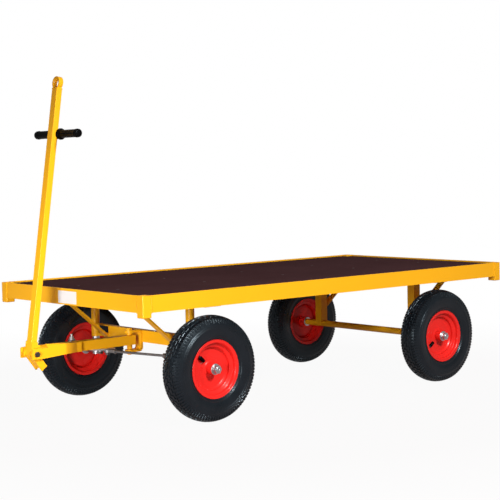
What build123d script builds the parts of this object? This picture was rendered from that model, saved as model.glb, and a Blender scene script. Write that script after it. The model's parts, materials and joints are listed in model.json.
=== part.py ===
from build123d import *
from math import atan2, cos, degrees, hypot, radians, sin
import os

# Flat-bed hand cart with a steered front axle, a hinged pull handle and pneumatic wheels.
# Millimetres. X runs forward to the drawbar, Y to the cart's left, Z up.
# The origin is on the ground, under the middle of the cart's overall length and width.

# Driving dimensions: deck and frame
DECK_LENGTH = 2035.0
DECK_WIDTH = 1000.0
DRAWBAR_REACH = 190.0
FRAME_CLEARANCE = 38.0
RAIL_HEIGHT = 64.0
RAIL_LEG = 40.0
RAIL_WALL = 5.0
RAIL_INSET = 1.5
POST_SIZE = 40.0
POST_HEIGHT = 83.0
POST_WALL = 3.0
POST_CORNER = 5.0
POST_CHAMFER = 2.0
SOCKET_RADIUS = 13.0
SOCKET_WALL = 3.5
SOCKET_FLOOR = 5.0
SOCKET_DRAIN_RADIUS = 4.0
DECK_RECESS = 6.0
DECK_THICKNESS = 12.0
DECK_EDGE_GAP = 2.0
BEARER_WIDTH = 40.0
BEARER_WALL = 3.0
BEARER_END_GAP = 1.0
BEARER_COUNT = 5
BOLSTER_WIDTH = 80.0
BOLSTER_INSET = 30.0
BOLSTER_THICKNESS = 5.0
SCREW_HEAD_RADIUS = 6.0
SCREW_HEAD_HEIGHT = 3.2
SCREW_SHANK_RADIUS = 3.0
SCREW_GRIP = 8.0
SCREW_EDGE = 90.0
SCREW_ROWS = 4

# Driving dimensions: wheels
TYRE_RADIUS = 206.0
TYRE_WIDTH = 92.0
TYRE_TREAD_WIDTH = 76.0
TYRE_SHOULDER_DROP = 9.0
TYRE_TREAD_WALL = 10.0
TYRE_SIDE_WALL = 6.5
BEAD_RADIUS = 101.0
BEAD_WIDTH = 12.0
BEAD_GAP = 0.3
RIM_WIDTH = 78.0
RIM_WALL = 2.5
RIM_FLANGE_HEIGHT = 13.0
RIM_WELL_DEPTH = 15.0
RIM_WELL_WIDTH = 32.0
RIM_WELL_SLOPE = 6.0
DISC_WALL = 3.0
TUBE_WALL = 2.5
TUBE_GAP = 0.4
HUB_RADIUS = 21.5
HUB_WALL = 4.0
HUB_LENGTH = 76.0
BEARING_WIDTH = 12.0
VALVE_RADIUS = 5.0
VALVE_BORE_RADIUS = 1.8
VALVE_LENGTH = 33.5
VALVE_OFFSET = 10.0
WHEEL_INSET = 58.5

# Driving dimensions: front axle and steering
FRONT_AXLE_SETBACK = 350.0
KINGPIN_INSET = 114.5
KINGPIN_RADIUS = 12.5
KINGPIN_TUBE_RADIUS = 17.5
KINGPIN_TUBE_LIFT = 63.0
KINGPIN_THREAD_RADIUS = 10.0
BEAM_HEIGHT = 48.0
BEAM_DEPTH = 30.0
BEAM_LIFT = 66.0
BEAM_FRONT = 5.0
BEAM_WALL = 3.0
BEAM_WINDOW_INSET = 102.0
BEAM_LIP = 12.0
BRACE_WIDTH = 30.0
BRACE_THICKNESS = 8.0
BRACE_DROP = 10.0
FRONT_BRACE_INSET = 87.0
FRONT_BRACE_REACH = 200.0
FRONT_BRACE_LIFT = 13.0
KNUCKLE_RADIUS = 18.0
KNUCKLE_BELOW = 12.5
KINGPIN_SEAT = 32.0
THRUST_WASHER = 11.5
THRUST_RADIUS = 16.0
ARM_FORWARD = 107.0
ARM_OUTWARD = 24.0
ARM_WIDTH = 34.0
ARM_THICKNESS = 10.0
STUB_RADIUS = 12.0
STUB_PEG_RADIUS = 9.0
STUB_PEG_DEPTH = 13.0
SPINDLE_RADIUS = 10.0
ROD_RADIUS = 5.0
ROD_EYE_RADIUS = 14.0
ROD_OUTER_EYE_RADIUS = 16.0
ROD_EYE_THICKNESS = 12.0
ROD_SLEEVE_RADIUS = 8.0
ROD_SLEEVE_LENGTH = 24.0
ROD_STUD_RADIUS = 5.0
ROD_STUD_PROUD = 24.0
ROD_SWING_PLAY = 2.9

# Driving dimensions: rear axle
REAR_AXLE_SETBACK = 375.0
AXLE_RADIUS = 15.0
LEG_ACROSS = 40.0
LEG_ALONG = 40.0
LEG_WALL = 3.0
LEG_INSET = 137.5
REAR_BRACE_REACH = 198.0
REAR_BRACE_LIFT = 88.0

# Driving dimensions: drawbar
DRAWBAR_PIVOT_LEAD = 58.0
DRAWBAR_LIFT = 78.5
DRAWBAR_SIZE = 38.0
DRAWBAR_WALL = 3.0
DRAWBAR_TAIL = 18.0
DRAWBAR_NOSE_GAP = 150.0
BUSH_RADIUS = 11.0
BUSH_LENGTH = 69.4
PIVOT_PIN_RADIUS = 8.0
BRACKET_WIDTH = 40.0
BRACKET_DROP = 4.5
BRACKET_THICKNESS = 10.0
BRACKET_LEG = 73.0
BRACKET_CORNER = 18.0
FORK_THICKNESS = 8.0
FORK_GAP = 74.0
FORK_LAP = 23.0
FORK_JOG = 61.0
FORK_FRONT_LENGTH = 151.0
FORK_NOSE_HEIGHT = 41.0
FORK_NOSE_DROP = 6.5
FORK_SHOULDER_HEIGHT = 54.8
FORK_SHOULDER_SETBACK = 69.5
FORK_SHOULDER_LEAN = 8.0
FORK_NOSE_CHAMFER = 4.0
FORK_TAPER_RISE = 3.5
FORK_KEEL_SETBACK = 100.0
FORK_KEEL_RISE = 3.0
FORK_KEEL_FRONT = 59.0
LUG_LEAD = 125.0
LUG_SPREAD = 25.0
LUG_THICKNESS = 4.5
LUG_BACK = 25.0
LUG_FRONT = 67.0
LUG_WIDTH = 84.0
LUG_NOSE_WIDTH = 44.0
LUG_TAPER = 45.0

# Driving dimensions: handle
HANDLE_SETBACK = 19.0
HANDLE_DROP = 6.5
HANDLE_LEAN = 8.6
HANDLE_LENGTH = 1070.0
HANDLE_ACROSS = 36.0
HANDLE_DEPTH = 25.0
HANDLE_WALL = 2.0
HANDLE_CORNER = 2.5
EYE_RADIUS = 24.5
EYE_THICKNESS = 19.0
EYE_HOLE_RADIUS = 14.0
EYE_HOLE_DROP = 27.0
EYE_CHAMFER = 5.0
EYE_CAP = 4.0
HEEL_ANGLE = 45.0
HEEL_LENGTH = 60.0
CHEEK_THICKNESS = 6.0
CHEEK_RISE = 45.0
CHEEK_LEG = 76.0
CHEEK_LEG_WIDTH = 28.6
CHEEK_RADIUS = 18.5
LOBE_RADIUS = 22.0
LOBE_BACK = 10.0
LOBE_RISE = 13.7
HANDLE_BOLT_RADIUS = 6.0
HANDLE_BUSH_RADIUS = 9.0
TEE_HEIGHT = 849.5
TEE_RADIUS = 10.0
TEE_HALF = 144.5
GRIP_RADIUS = 15.5
GRIP_BULB_RADIUS = 16.8
GRIP_BULB_LENGTH = 20.0
GRIP_COLLAR_RADIUS = 22.2
GRIP_COLLAR_WIDTH = 8.0
GRIP_INNER = 18.5
GRIP_END = 4.0

# Clearances
RUNNING_FIT = 0.05
SEAT_FIT = 0.02
FACE_GAP = 0.3
HOLE_PLAY = 0.3

# Fasteners, as across-flats width and height
WHEEL_NUT_FLATS = 30.0
WHEEL_NUT_HEIGHT = 12.0
WHEEL_WASHER_RADIUS = 18.0
WASHER_THICKNESS = 3.0
THREAD_PROUD = 2.5
KINGPIN_NUT_FLATS = 30.0
KINGPIN_NUT_HEIGHT = 14.0
PIVOT_NUT_FLATS = 24.0
PIVOT_NUT_HEIGHT = 8.0
ROD_NUT_FLATS = 17.0
ROD_NUT_HEIGHT = 9.0
JAM_NUT_FLATS = 17.0
JAM_NUT_HEIGHT = 6.0
HANDLE_NUT_FLATS = 19.0
HANDLE_NUT_HEIGHT = 8.0

# Stations worked out from the driving dimensions
FRONT_EDGE = (DECK_LENGTH - DRAWBAR_REACH) / 2
REAR_EDGE = -(DECK_LENGTH + DRAWBAR_REACH) / 2
DECK_MIDDLE = (FRONT_EDGE + REAR_EDGE) / 2
SIDE_EDGE = DECK_WIDTH / 2
AXLE_Z = TYRE_RADIUS
RAIL_BOTTOM = 2 * TYRE_RADIUS + FRAME_CLEARANCE
FRAME_TOP = RAIL_BOTTOM + RAIL_HEIGHT
DECK_TOP = FRAME_TOP - DECK_RECESS
DECK_BOTTOM = DECK_TOP - DECK_THICKNESS
BEARER_BOTTOM = RAIL_BOTTOM + RAIL_WALL
BOLSTER_BOTTOM = RAIL_BOTTOM - BOLSTER_THICKNESS
WHEEL_Y = SIDE_EDGE - WHEEL_INSET
HUB_INNER = WHEEL_Y - HUB_LENGTH / 2
HUB_OUTER = WHEEL_Y + HUB_LENGTH / 2
KINGPIN_X = FRONT_EDGE - FRONT_AXLE_SETBACK
KINGPIN_Y = WHEEL_Y - KINGPIN_INSET
REAR_AXLE_X = REAR_EDGE + REAR_AXLE_SETBACK
LEG_Y = WHEEL_Y - LEG_INSET
KINGPIN_TUBE_BOTTOM = AXLE_Z + KINGPIN_TUBE_LIFT
KNUCKLE_TOP = KINGPIN_TUBE_BOTTOM - FACE_GAP - THRUST_WASHER
KNUCKLE_BOTTOM = AXLE_Z - KNUCKLE_BELOW
BEAM_FRONT_X = KINGPIN_X + BEAM_FRONT
BEAM_BOTTOM = AXLE_Z + BEAM_LIFT
FRONT_BRACE_X = BEAM_FRONT_X + FRONT_BRACE_REACH
FRONT_BRACE_Y = KINGPIN_Y - FRONT_BRACE_INSET
REAR_BRACE_X = REAR_AXLE_X - LEG_ALONG / 2 - REAR_BRACE_REACH
PIVOT_X = KINGPIN_X + DRAWBAR_PIVOT_LEAD
DRAWBAR_Z = AXLE_Z + DRAWBAR_LIFT
DRAWBAR_BOTTOM = DRAWBAR_Z - DRAWBAR_SIZE / 2
DRAWBAR_TOP = DRAWBAR_Z + DRAWBAR_SIZE / 2
BRACKET_Z = DRAWBAR_Z - BRACKET_DROP
BRACKET_INNER = BUSH_LENGTH / 2 + FACE_GAP
BRACKET_OUTER = BRACKET_INNER + BRACKET_THICKNESS
FORK_NOSE_X = FRONT_EDGE + DRAWBAR_REACH
FORK_OUTER = FORK_GAP / 2 + FORK_THICKNESS
HANDLE_X = FORK_NOSE_X - HANDLE_SETBACK
HANDLE_Z = DRAWBAR_Z - HANDLE_DROP
FORK_NOSE_TOP = DRAWBAR_BOTTOM - FORK_NOSE_DROP + FORK_NOSE_HEIGHT
FORK_NOSE_BOTTOM = FORK_NOSE_TOP - FORK_NOSE_HEIGHT
LUG_BOTTOM = DRAWBAR_BOTTOM - LUG_THICKNESS
LUG_X = PIVOT_X + LUG_LEAD
ROD_TOP = LUG_BOTTOM - FACE_GAP
ROD_Z = ROD_TOP - ROD_EYE_THICKNESS / 2
ROD_BOTTOM = ROD_TOP - ROD_EYE_THICKNESS
ARM_TOP = ROD_BOTTOM - FACE_GAP
ARM_BOTTOM = ARM_TOP - ARM_THICKNESS
ARM_END_X = KINGPIN_X + ARM_FORWARD
ARM_END_Y = KINGPIN_Y + ARM_OUTWARD

PARTS = {}


def block(x0, x1, y0, y1, z0, z1):
    """A box between two corners."""
    middle = Pos((x0 + x1) / 2, (y0 + y1) / 2, (z0 + z1) / 2)
    return middle * Box(abs(x1 - x0), abs(y1 - y0), abs(z1 - z0))


def rod_z(x, y, radius, z0, z1):
    """An upright cylinder."""
    return Pos(x, y, (z0 + z1) / 2) * Cylinder(radius, abs(z1 - z0))


def rod_y(x, z, radius, y0, y1):
    """A cylinder across the cart."""
    return Pos(x, (y0 + y1) / 2, z) * Rot(90, 0, 0) * Cylinder(radius, abs(y1 - y0))


def hexagon(flats, height):
    """A hexagonal prism that stands on the XY plane at the origin."""
    outline = RegularPolygon(flats / 2, 6, major_radius=False)
    return extrude(outline, height)


def hex_z(x, y, flats, hole, z0, z1):
    """An upright nut with its hole."""
    return Pos(x, y, z0) * hexagon(flats, z1 - z0) - rod_z(x, y, hole, z0, z1)


def hex_y(x, z, flats, y0, y1):
    """A bolt head or nut across the cart, without a hole."""
    return Pos(x, y1, z) * Rot(90, 0, 0) * hexagon(flats, y1 - y0)


def washer_z(x, y, radius, hole, z0, z1):
    """An upright washer."""
    return rod_z(x, y, radius, z0, z1) - rod_z(x, y, hole, z0, z1)


def side_slab(points, y0, y1):
    """A plate cut to a side-view outline of X, Z points, from y0 to y1."""
    side = Plane(origin=(0, y1, 0), x_dir=(1, 0, 0), z_dir=(0, -1, 0))
    return extrude(side * Polygon(*points, align=None), y1 - y0)


def plan_slab(points, z0, z1):
    """A plate cut to a plan outline of X, Y points, from z0 to z1."""
    return extrude(Pos(0, 0, z0) * Polygon(*points, align=None), z1 - z0)


def ring_of(profile):
    """A solid turned about the Y axis from a closed outline of radius and width edges."""
    return revolve(make_face(profile), Axis.Y)


def to_right(shape):
    """The mirror image of a left-hand piece."""
    return mirror(shape, about=Plane.XZ)


def add(name, *solids):
    """Keeps a piece, or a group of like pieces, under its name."""
    PARTS[name] = solids[0] if len(solids) == 1 else Compound(list(solids))


# Deck frame


def rail(length):
    """An angle rail along X, its outer face at Y = 0, its foot reaching to -Y at the bottom."""
    wall = block(-length / 2, length / 2, -RAIL_WALL, 0, RAIL_BOTTOM, FRAME_TOP)
    reach = -(RAIL_LEG - RAIL_INSET)
    foot = block(-length / 2, length / 2, reach, 0, RAIL_BOTTOM, RAIL_BOTTOM + RAIL_WALL)
    return wall + foot


def make_rails():
    """Four angle rails that run from post to post."""
    long_rail = rail(DECK_LENGTH - 2 * POST_SIZE)
    short_rail = rail(DECK_WIDTH - 2 * POST_SIZE)
    add("left_rail", Pos(DECK_MIDDLE, SIDE_EDGE - RAIL_INSET, 0) * long_rail)
    add("right_rail", Pos(DECK_MIDDLE, RAIL_INSET - SIDE_EDGE, 0) * Rot(0, 0, 180) * long_rail)
    add("front_rail", Pos(FRONT_EDGE - RAIL_INSET, 0, 0) * Rot(0, 0, -90) * short_rail)
    add("rear_rail", Pos(REAR_EDGE + RAIL_INSET, 0, 0) * Rot(0, 0, 90) * short_rail)


def corner_post():
    """A square corner post round a stake socket, with its top at the frame's top."""
    outline = RectangleRounded(POST_SIZE, POST_SIZE, POST_CORNER)
    inside = RectangleRounded(POST_SIZE - 2 * POST_WALL, POST_SIZE - 2 * POST_WALL, POST_CORNER - POST_WALL)
    bottom = FRAME_TOP - POST_HEIGHT
    shell = extrude(Pos(0, 0, bottom) * outline, POST_HEIGHT)
    shell = chamfer(shell.faces().sort_by(Axis.Z)[0].edges(), POST_CHAMFER)
    shell -= extrude(Pos(0, 0, bottom) * inside, POST_HEIGHT - POST_WALL)
    shell += rod_z(0, 0, SOCKET_RADIUS + SOCKET_WALL, bottom, FRAME_TOP)
    shell -= rod_z(0, 0, SOCKET_RADIUS, bottom + SOCKET_FLOOR, FRAME_TOP)
    return shell - rod_z(0, 0, SOCKET_DRAIN_RADIUS, bottom, bottom + SOCKET_FLOOR)


def make_posts():
    """The corner posts, in a front pair and a rear pair."""
    across = SIDE_EDGE - POST_SIZE / 2
    post = corner_post()
    for name, x in (
        ("front_corner_posts", FRONT_EDGE - POST_SIZE / 2),
        ("rear_corner_posts", REAR_EDGE + POST_SIZE / 2),
    ):
        add(name, Pos(x, across, 0) * post, Pos(x, -across, 0) * post)


def bearer_stations():
    """The X places of the deck bearers, from the front brace's head to the rear brace's head."""
    step = (FRONT_BRACE_X - REAR_BRACE_X) / (BEARER_COUNT - 1)
    return [REAR_BRACE_X + step * index for index in range(BEARER_COUNT)]


def screw_places():
    """The X, Y places of the deck screws, in a row along each bearer."""
    outermost = SIDE_EDGE - SCREW_EDGE
    step = 2 * outermost / (SCREW_ROWS - 1)
    return [(x, step * row - outermost) for x in bearer_stations() for row in range(SCREW_ROWS)]


def make_deck():
    """The deck panel, the bearers under it and the screws that hold it down."""
    half_length = DECK_LENGTH / 2 - RAIL_INSET - RAIL_WALL - DECK_EDGE_GAP
    half_width = SIDE_EDGE - RAIL_INSET - RAIL_WALL - DECK_EDGE_GAP
    notch = POST_SIZE + DECK_EDGE_GAP
    x0 = DECK_MIDDLE - half_length
    x1 = DECK_MIDDLE + half_length
    panel = block(x0, x1, -half_width, half_width, DECK_BOTTOM, DECK_TOP)
    for inner_x, edge_x in ((REAR_EDGE + notch, REAR_EDGE), (FRONT_EDGE - notch, FRONT_EDGE)):
        for inner_y, edge_y in ((SIDE_EDGE - notch, SIDE_EDGE), (notch - SIDE_EDGE, -SIDE_EDGE)):
            panel -= block(inner_x, edge_x, inner_y, edge_y, DECK_BOTTOM, DECK_TOP)

    reach = SIDE_EDGE - RAIL_INSET - RAIL_WALL - BEARER_END_GAP
    half = BEARER_WIDTH / 2
    hollow = half - BEARER_WALL
    bearers = []
    for x in bearer_stations():
        outer = block(x - half, x + half, -reach, reach, BEARER_BOTTOM, DECK_BOTTOM)
        inner = block(
            x - hollow, x + hollow, -reach, reach, BEARER_BOTTOM + BEARER_WALL, DECK_BOTTOM - BEARER_WALL
        )
        bearers.append(outer - inner)

    head_bottom = DECK_TOP - SCREW_HEAD_HEIGHT
    tip = DECK_BOTTOM - SCREW_GRIP
    screws = []
    head_hole = SCREW_HEAD_RADIUS + HOLE_PLAY
    shank_hole = SCREW_SHANK_RADIUS + SEAT_FIT
    head_cuts = []
    shank_cuts = []
    for x, y in screw_places():
        head = rod_z(x, y, SCREW_HEAD_RADIUS, head_bottom, DECK_TOP)
        screws.append(head + rod_z(x, y, SCREW_SHANK_RADIUS, tip, head_bottom))
        head_cuts.append(rod_z(x, y, head_hole, head_bottom, DECK_TOP))
        shank_cuts.append(rod_z(x, y, shank_hole, DECK_BOTTOM - BEARER_WALL, head_bottom))
    panel = panel - head_cuts - shank_cuts
    add("deck_panel", panel)
    add("deck_bearers", *[bearer - shank_cuts for bearer in bearers])
    add("deck_screws", *screws)


def make_bolsters():
    """Flat plates under the rails that carry the king-pin tubes and the rear legs."""
    half = BOLSTER_WIDTH / 2
    reach = SIDE_EDGE - BOLSTER_INSET
    front = block(KINGPIN_X - half, KINGPIN_X + half, -reach, reach, BOLSTER_BOTTOM, RAIL_BOTTOM)
    for y in (KINGPIN_Y, -KINGPIN_Y):
        front -= rod_z(KINGPIN_X, y, KINGPIN_RADIUS + HOLE_PLAY, BOLSTER_BOTTOM, RAIL_BOTTOM)
    rear = block(REAR_AXLE_X - half, REAR_AXLE_X + half, -reach, reach, BOLSTER_BOTTOM, RAIL_BOTTOM)
    add("bolsters", front, rear)


# Braces


def brace(x_foot, z_foot, x_head, z_head, y):
    """A flat bar from an upright foot face to a level head face, its underside below the line."""
    run = x_head - x_foot
    rise = z_head - z_foot
    length = hypot(run, rise)
    side = 1.0 if run > 0 else -1.0

    def ends(drop):
        """The foot and the head of a line that runs this far below the given one."""
        return [(x_foot, z_foot - drop * length / abs(run)), (x_head + drop * length / rise * side, z_head)]

    foot_under, head_under = ends(BRACE_DROP)
    foot_over, head_over = ends(BRACE_DROP - BRACE_THICKNESS)
    outline = [foot_under, head_under, head_over, foot_over]
    if run < 0:
        outline.reverse()
    half = BRACE_WIDTH / 2
    return side_slab(outline, y - half, y + half)


def make_braces():
    """The slanted braces of the front and the rear axle."""
    z_front = BEAM_BOTTOM + FRONT_BRACE_LIFT
    front = brace(BEAM_FRONT_X, z_front, FRONT_BRACE_X, BEARER_BOTTOM, FRONT_BRACE_Y)
    z_rear = AXLE_Z + REAR_BRACE_LIFT
    rear = brace(REAR_AXLE_X - LEG_ALONG / 2, z_rear, REAR_BRACE_X, BEARER_BOTTOM, LEG_Y)
    add("front_braces", front, to_right(front))
    add("rear_braces", rear, to_right(rear))


# Front axle


def make_front_axle():
    """The king-pin tubes and the beam between them, with a window through it near each end."""
    bore = KINGPIN_RADIUS + RUNNING_FIT
    outside = rod_z(KINGPIN_X, KINGPIN_Y, KINGPIN_TUBE_RADIUS, KINGPIN_TUBE_BOTTOM, BOLSTER_BOTTOM)
    tube = outside - rod_z(KINGPIN_X, KINGPIN_Y, bore, KINGPIN_TUBE_BOTTOM, BOLSTER_BOTTOM)
    add("left_kingpin_tube", tube)
    add("right_kingpin_tube", to_right(tube))
    x0 = BEAM_FRONT_X - BEAM_DEPTH
    top = BEAM_BOTTOM + BEAM_HEIGHT
    beam = block(x0, BEAM_FRONT_X, -KINGPIN_Y, KINGPIN_Y, BEAM_BOTTOM, top)
    beam -= block(
        x0 + BEAM_WALL,
        BEAM_FRONT_X - BEAM_WALL,
        -KINGPIN_Y,
        KINGPIN_Y,
        BEAM_BOTTOM + BEAM_WALL,
        top - BEAM_WALL,
    )
    for y in (KINGPIN_Y, -KINGPIN_Y):
        beam -= rod_z(KINGPIN_X, y, KINGPIN_TUBE_RADIUS + SEAT_FIT, BEAM_BOTTOM, top)
        beam -= block(x0, BEAM_FRONT_X, y, y * DECK_WIDTH, BEAM_BOTTOM, top)
    window = KINGPIN_Y - BEAM_WINDOW_INSET
    for y0, y1 in ((window, KINGPIN_Y), (-KINGPIN_Y, -window)):
        beam -= block(x0, BEAM_FRONT_X, y0, y1, BEAM_BOTTOM + BEAM_LIP, top - BEAM_WALL)
    pieces = beam.solids().sort_by(SortBy.VOLUME)
    add("front_beam", pieces[-1])


def make_pivot_bracket():
    """The C bracket on the beam and the pin that the drawbar turns on."""
    x0 = BEAM_FRONT_X
    x1 = x0 + BRACKET_LEG
    back = x0 + BRACKET_THICKNESS
    low = BRACKET_Z - BRACKET_OUTER
    high = BRACKET_Z + BRACKET_OUTER
    low_in = BRACKET_Z - BRACKET_INNER
    high_in = BRACKET_Z + BRACKET_INNER
    side = Plane(origin=(0, BRACKET_WIDTH / 2, 0), x_dir=(1, 0, 0), z_dir=(0, -1, 0))
    outside = Polygon((x0, low), (x1, low), (x1, high), (x0, high), align=None)
    corners = outside.vertices().group_by(Axis.X)[0]
    outside = fillet(corners, BRACKET_CORNER)
    inside = Polygon((back, low_in), (x1, low_in), (x1, high_in), (back, high_in), align=None)
    inner_corners = inside.vertices().group_by(Axis.X)[0]
    inside = fillet(inner_corners, BRACKET_CORNER - BRACKET_THICKNESS)
    bracket = extrude(side * (outside - inside), BRACKET_WIDTH)
    nose = x1 - BRACKET_WIDTH / 2
    keep = block(x0, nose, -BRACKET_WIDTH, BRACKET_WIDTH, low, high)
    bracket &= keep + rod_z(nose, 0, BRACKET_WIDTH / 2, low, high)
    add("pivot_bracket", bracket - rod_z(PIVOT_X, 0, PIVOT_PIN_RADIUS + SEAT_FIT, low, high))

    head = Pos(PIVOT_X, 0, high) * hexagon(PIVOT_NUT_FLATS, PIVOT_NUT_HEIGHT)
    tail = low - PIVOT_NUT_HEIGHT - THREAD_PROUD
    pin = head + rod_z(PIVOT_X, 0, PIVOT_PIN_RADIUS, tail, high)
    nut = hex_z(PIVOT_X, 0, PIVOT_NUT_FLATS, PIVOT_PIN_RADIUS + SEAT_FIT, low - PIVOT_NUT_HEIGHT, low)
    add("drawbar_pin", pin, nut)


# Steering knuckles


def knuckle_pieces():
    """The left knuckle's pieces: king pin, knuckle with its arm, stub axle, and nuts and washers."""
    seat_bottom = KNUCKLE_TOP - KINGPIN_SEAT
    shoulder = RAIL_BOTTOM + FACE_GAP
    nut_bottom = shoulder + WASHER_THICKNESS
    nut_top = nut_bottom + KINGPIN_NUT_HEIGHT
    pin = rod_z(KINGPIN_X, KINGPIN_Y, KINGPIN_RADIUS, seat_bottom, shoulder)
    pin += rod_z(KINGPIN_X, KINGPIN_Y, KINGPIN_THREAD_RADIUS, shoulder, nut_top + THREAD_PROUD)

    boss = rod_z(KINGPIN_X, KINGPIN_Y, KNUCKLE_RADIUS, KNUCKLE_BOTTOM, KNUCKLE_TOP)
    arm_length = hypot(ARM_FORWARD, ARM_OUTWARD)
    arm_angle = degrees(atan2(ARM_OUTWARD, ARM_FORWARD))
    arm_middle = Pos((KINGPIN_X + ARM_END_X) / 2, (KINGPIN_Y + ARM_END_Y) / 2, ARM_BOTTOM)
    arm_plan = SlotCenterToCenter(arm_length, ARM_WIDTH)
    arm = extrude(arm_middle * Rot(0, 0, arm_angle) * arm_plan, ARM_THICKNESS)
    collar = rod_y(KINGPIN_X, AXLE_Z, STUB_RADIUS, KINGPIN_Y, KINGPIN_Y + KNUCKLE_RADIUS)
    knuckle = boss + arm + collar
    knuckle -= rod_z(KINGPIN_X, KINGPIN_Y, KINGPIN_RADIUS + SEAT_FIT, seat_bottom, KNUCKLE_TOP)
    peg_end = KINGPIN_Y - STUB_PEG_DEPTH
    stub_start = KINGPIN_Y + KNUCKLE_RADIUS
    knuckle -= rod_y(KINGPIN_X, AXLE_Z, STUB_PEG_RADIUS + SEAT_FIT, peg_end, stub_start)
    knuckle -= rod_z(ARM_END_X, ARM_END_Y, ROD_STUD_RADIUS + SEAT_FIT, ARM_BOTTOM, ARM_TOP)

    stub = rod_y(KINGPIN_X, AXLE_Z, STUB_PEG_RADIUS, peg_end, stub_start)
    stub += rod_y(KINGPIN_X, AXLE_Z, STUB_RADIUS, stub_start, HUB_INNER - FACE_GAP)
    stub += rod_y(KINGPIN_X, AXLE_Z, SPINDLE_RADIUS, HUB_INNER - FACE_GAP, spindle_end())

    thrust_top = KNUCKLE_TOP + THRUST_WASHER
    thrust = washer_z(
        KINGPIN_X, KINGPIN_Y, THRUST_RADIUS, KINGPIN_RADIUS + SEAT_FIT, KNUCKLE_TOP, thrust_top
    )
    pin_washer = washer_z(
        KINGPIN_X, KINGPIN_Y, KINGPIN_TUBE_RADIUS, KINGPIN_THREAD_RADIUS + SEAT_FIT, shoulder, nut_bottom
    )
    pin_nut = hex_z(
        KINGPIN_X, KINGPIN_Y, KINGPIN_NUT_FLATS, KINGPIN_THREAD_RADIUS + SEAT_FIT, nut_bottom, nut_top
    )
    stud_washer_bottom = ROD_TOP + FACE_GAP
    stud_nut_bottom = stud_washer_bottom + WASHER_THICKNESS
    stud = rod_z(ARM_END_X, ARM_END_Y, ROD_STUD_RADIUS, ARM_BOTTOM, ROD_TOP + ROD_STUD_PROUD)
    hole = ROD_STUD_RADIUS + SEAT_FIT
    stud_washer = washer_z(ARM_END_X, ARM_END_Y, ROD_EYE_RADIUS, hole, stud_washer_bottom, stud_nut_bottom)
    stud_nut = hex_z(
        ARM_END_X, ARM_END_Y, ROD_NUT_FLATS, hole, stud_nut_bottom, stud_nut_bottom + ROD_NUT_HEIGHT
    )
    nuts = [thrust, pin_washer, pin_nut, stud, stud_washer, stud_nut]
    return pin, knuckle, stub, nuts + wheel_nut(KINGPIN_X)


def spindle_end():
    """How far out a wheel spindle reaches."""
    return HUB_OUTER + FACE_GAP + WASHER_THICKNESS + WHEEL_NUT_HEIGHT + THREAD_PROUD


def wheel_nut(x):
    """The washer and nut on the left end of a spindle."""
    washer_start = HUB_OUTER + FACE_GAP
    nut_start = washer_start + WASHER_THICKNESS
    nut_end = nut_start + WHEEL_NUT_HEIGHT
    bore = rod_y(x, AXLE_Z, SPINDLE_RADIUS + SEAT_FIT, washer_start, nut_end)
    washer = rod_y(x, AXLE_Z, WHEEL_WASHER_RADIUS, washer_start, nut_start) - bore
    nut = hex_y(x, AXLE_Z, WHEEL_NUT_FLATS, nut_start, nut_end) - bore
    return [washer, nut]


def make_knuckles():
    """Both steering knuckles."""
    pin, knuckle, stub, nuts = knuckle_pieces()
    add("left_king_pin", pin)
    add("left_knuckle", knuckle)
    add("left_stub_axle", stub)
    add("left_knuckle_nuts", *nuts)
    add("right_king_pin", to_right(pin))
    add("right_knuckle", to_right(knuckle))
    add("right_stub_axle", to_right(stub))
    add("right_knuckle_nuts", *[to_right(nut) for nut in nuts])


def tie_rod_pieces():
    """The left tie rod, its two end eyes and their jam nuts."""
    run_x = ARM_END_X - LUG_X
    run_y = ARM_END_Y - LUG_SPREAD
    length = hypot(run_x, run_y)
    place = Pos(LUG_X, LUG_SPREAD, ROD_Z) * Rot(0, 0, degrees(atan2(run_y, run_x)))

    def along(radius, start, end):
        """A cylinder on the rod's own axis, measured from the inner eye."""
        return Pos((start + end) / 2, 0, 0) * Rot(0, 90, 0) * Cylinder(radius, end - start)

    bar_start = ROD_EYE_RADIUS
    bar_end = length - ROD_OUTER_EYE_RADIUS
    inner_socket = bar_start + ROD_SLEEVE_LENGTH
    outer_socket = bar_end - ROD_SLEEVE_LENGTH
    bar = along(ROD_RADIUS, bar_start + SEAT_FIT, bar_end - SEAT_FIT)
    bore = along(ROD_RADIUS + SEAT_FIT, bar_start, bar_end)
    far = Pos(length, 0, 0)
    level = Box(4 * length, 4 * length, ROD_EYE_THICKNESS)
    inner_eye = Cylinder(ROD_EYE_RADIUS, ROD_EYE_THICKNESS) + along(ROD_SLEEVE_RADIUS, 0, inner_socket)
    inner_eye -= Cylinder(ROD_STUD_RADIUS + RUNNING_FIT, ROD_EYE_THICKNESS)
    inner_eye = (inner_eye & level) - bore
    outer_eye = far * Cylinder(ROD_OUTER_EYE_RADIUS, ROD_EYE_THICKNESS)
    outer_eye += along(ROD_SLEEVE_RADIUS, outer_socket, length)
    outer_eye -= far * Cylinder(ROD_STUD_RADIUS + ROD_SWING_PLAY, ROD_EYE_THICKNESS)
    outer_eye = (outer_eye & level) - bore
    nut = Rot(0, 90, 0) * hexagon(JAM_NUT_FLATS, JAM_NUT_HEIGHT)
    inner_nut = Pos(inner_socket, 0, 0) * nut - bore
    outer_nut = Pos(outer_socket - JAM_NUT_HEIGHT, 0, 0) * nut - bore
    return [place * piece for piece in (bar, inner_eye, outer_eye, inner_nut, outer_nut)]


def make_tie_rods():
    """Both tie rods."""
    pieces = tie_rod_pieces()
    add("left_tie_rod", *pieces)
    add("right_tie_rod", *[to_right(piece) for piece in pieces])


# Rear axle


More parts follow.
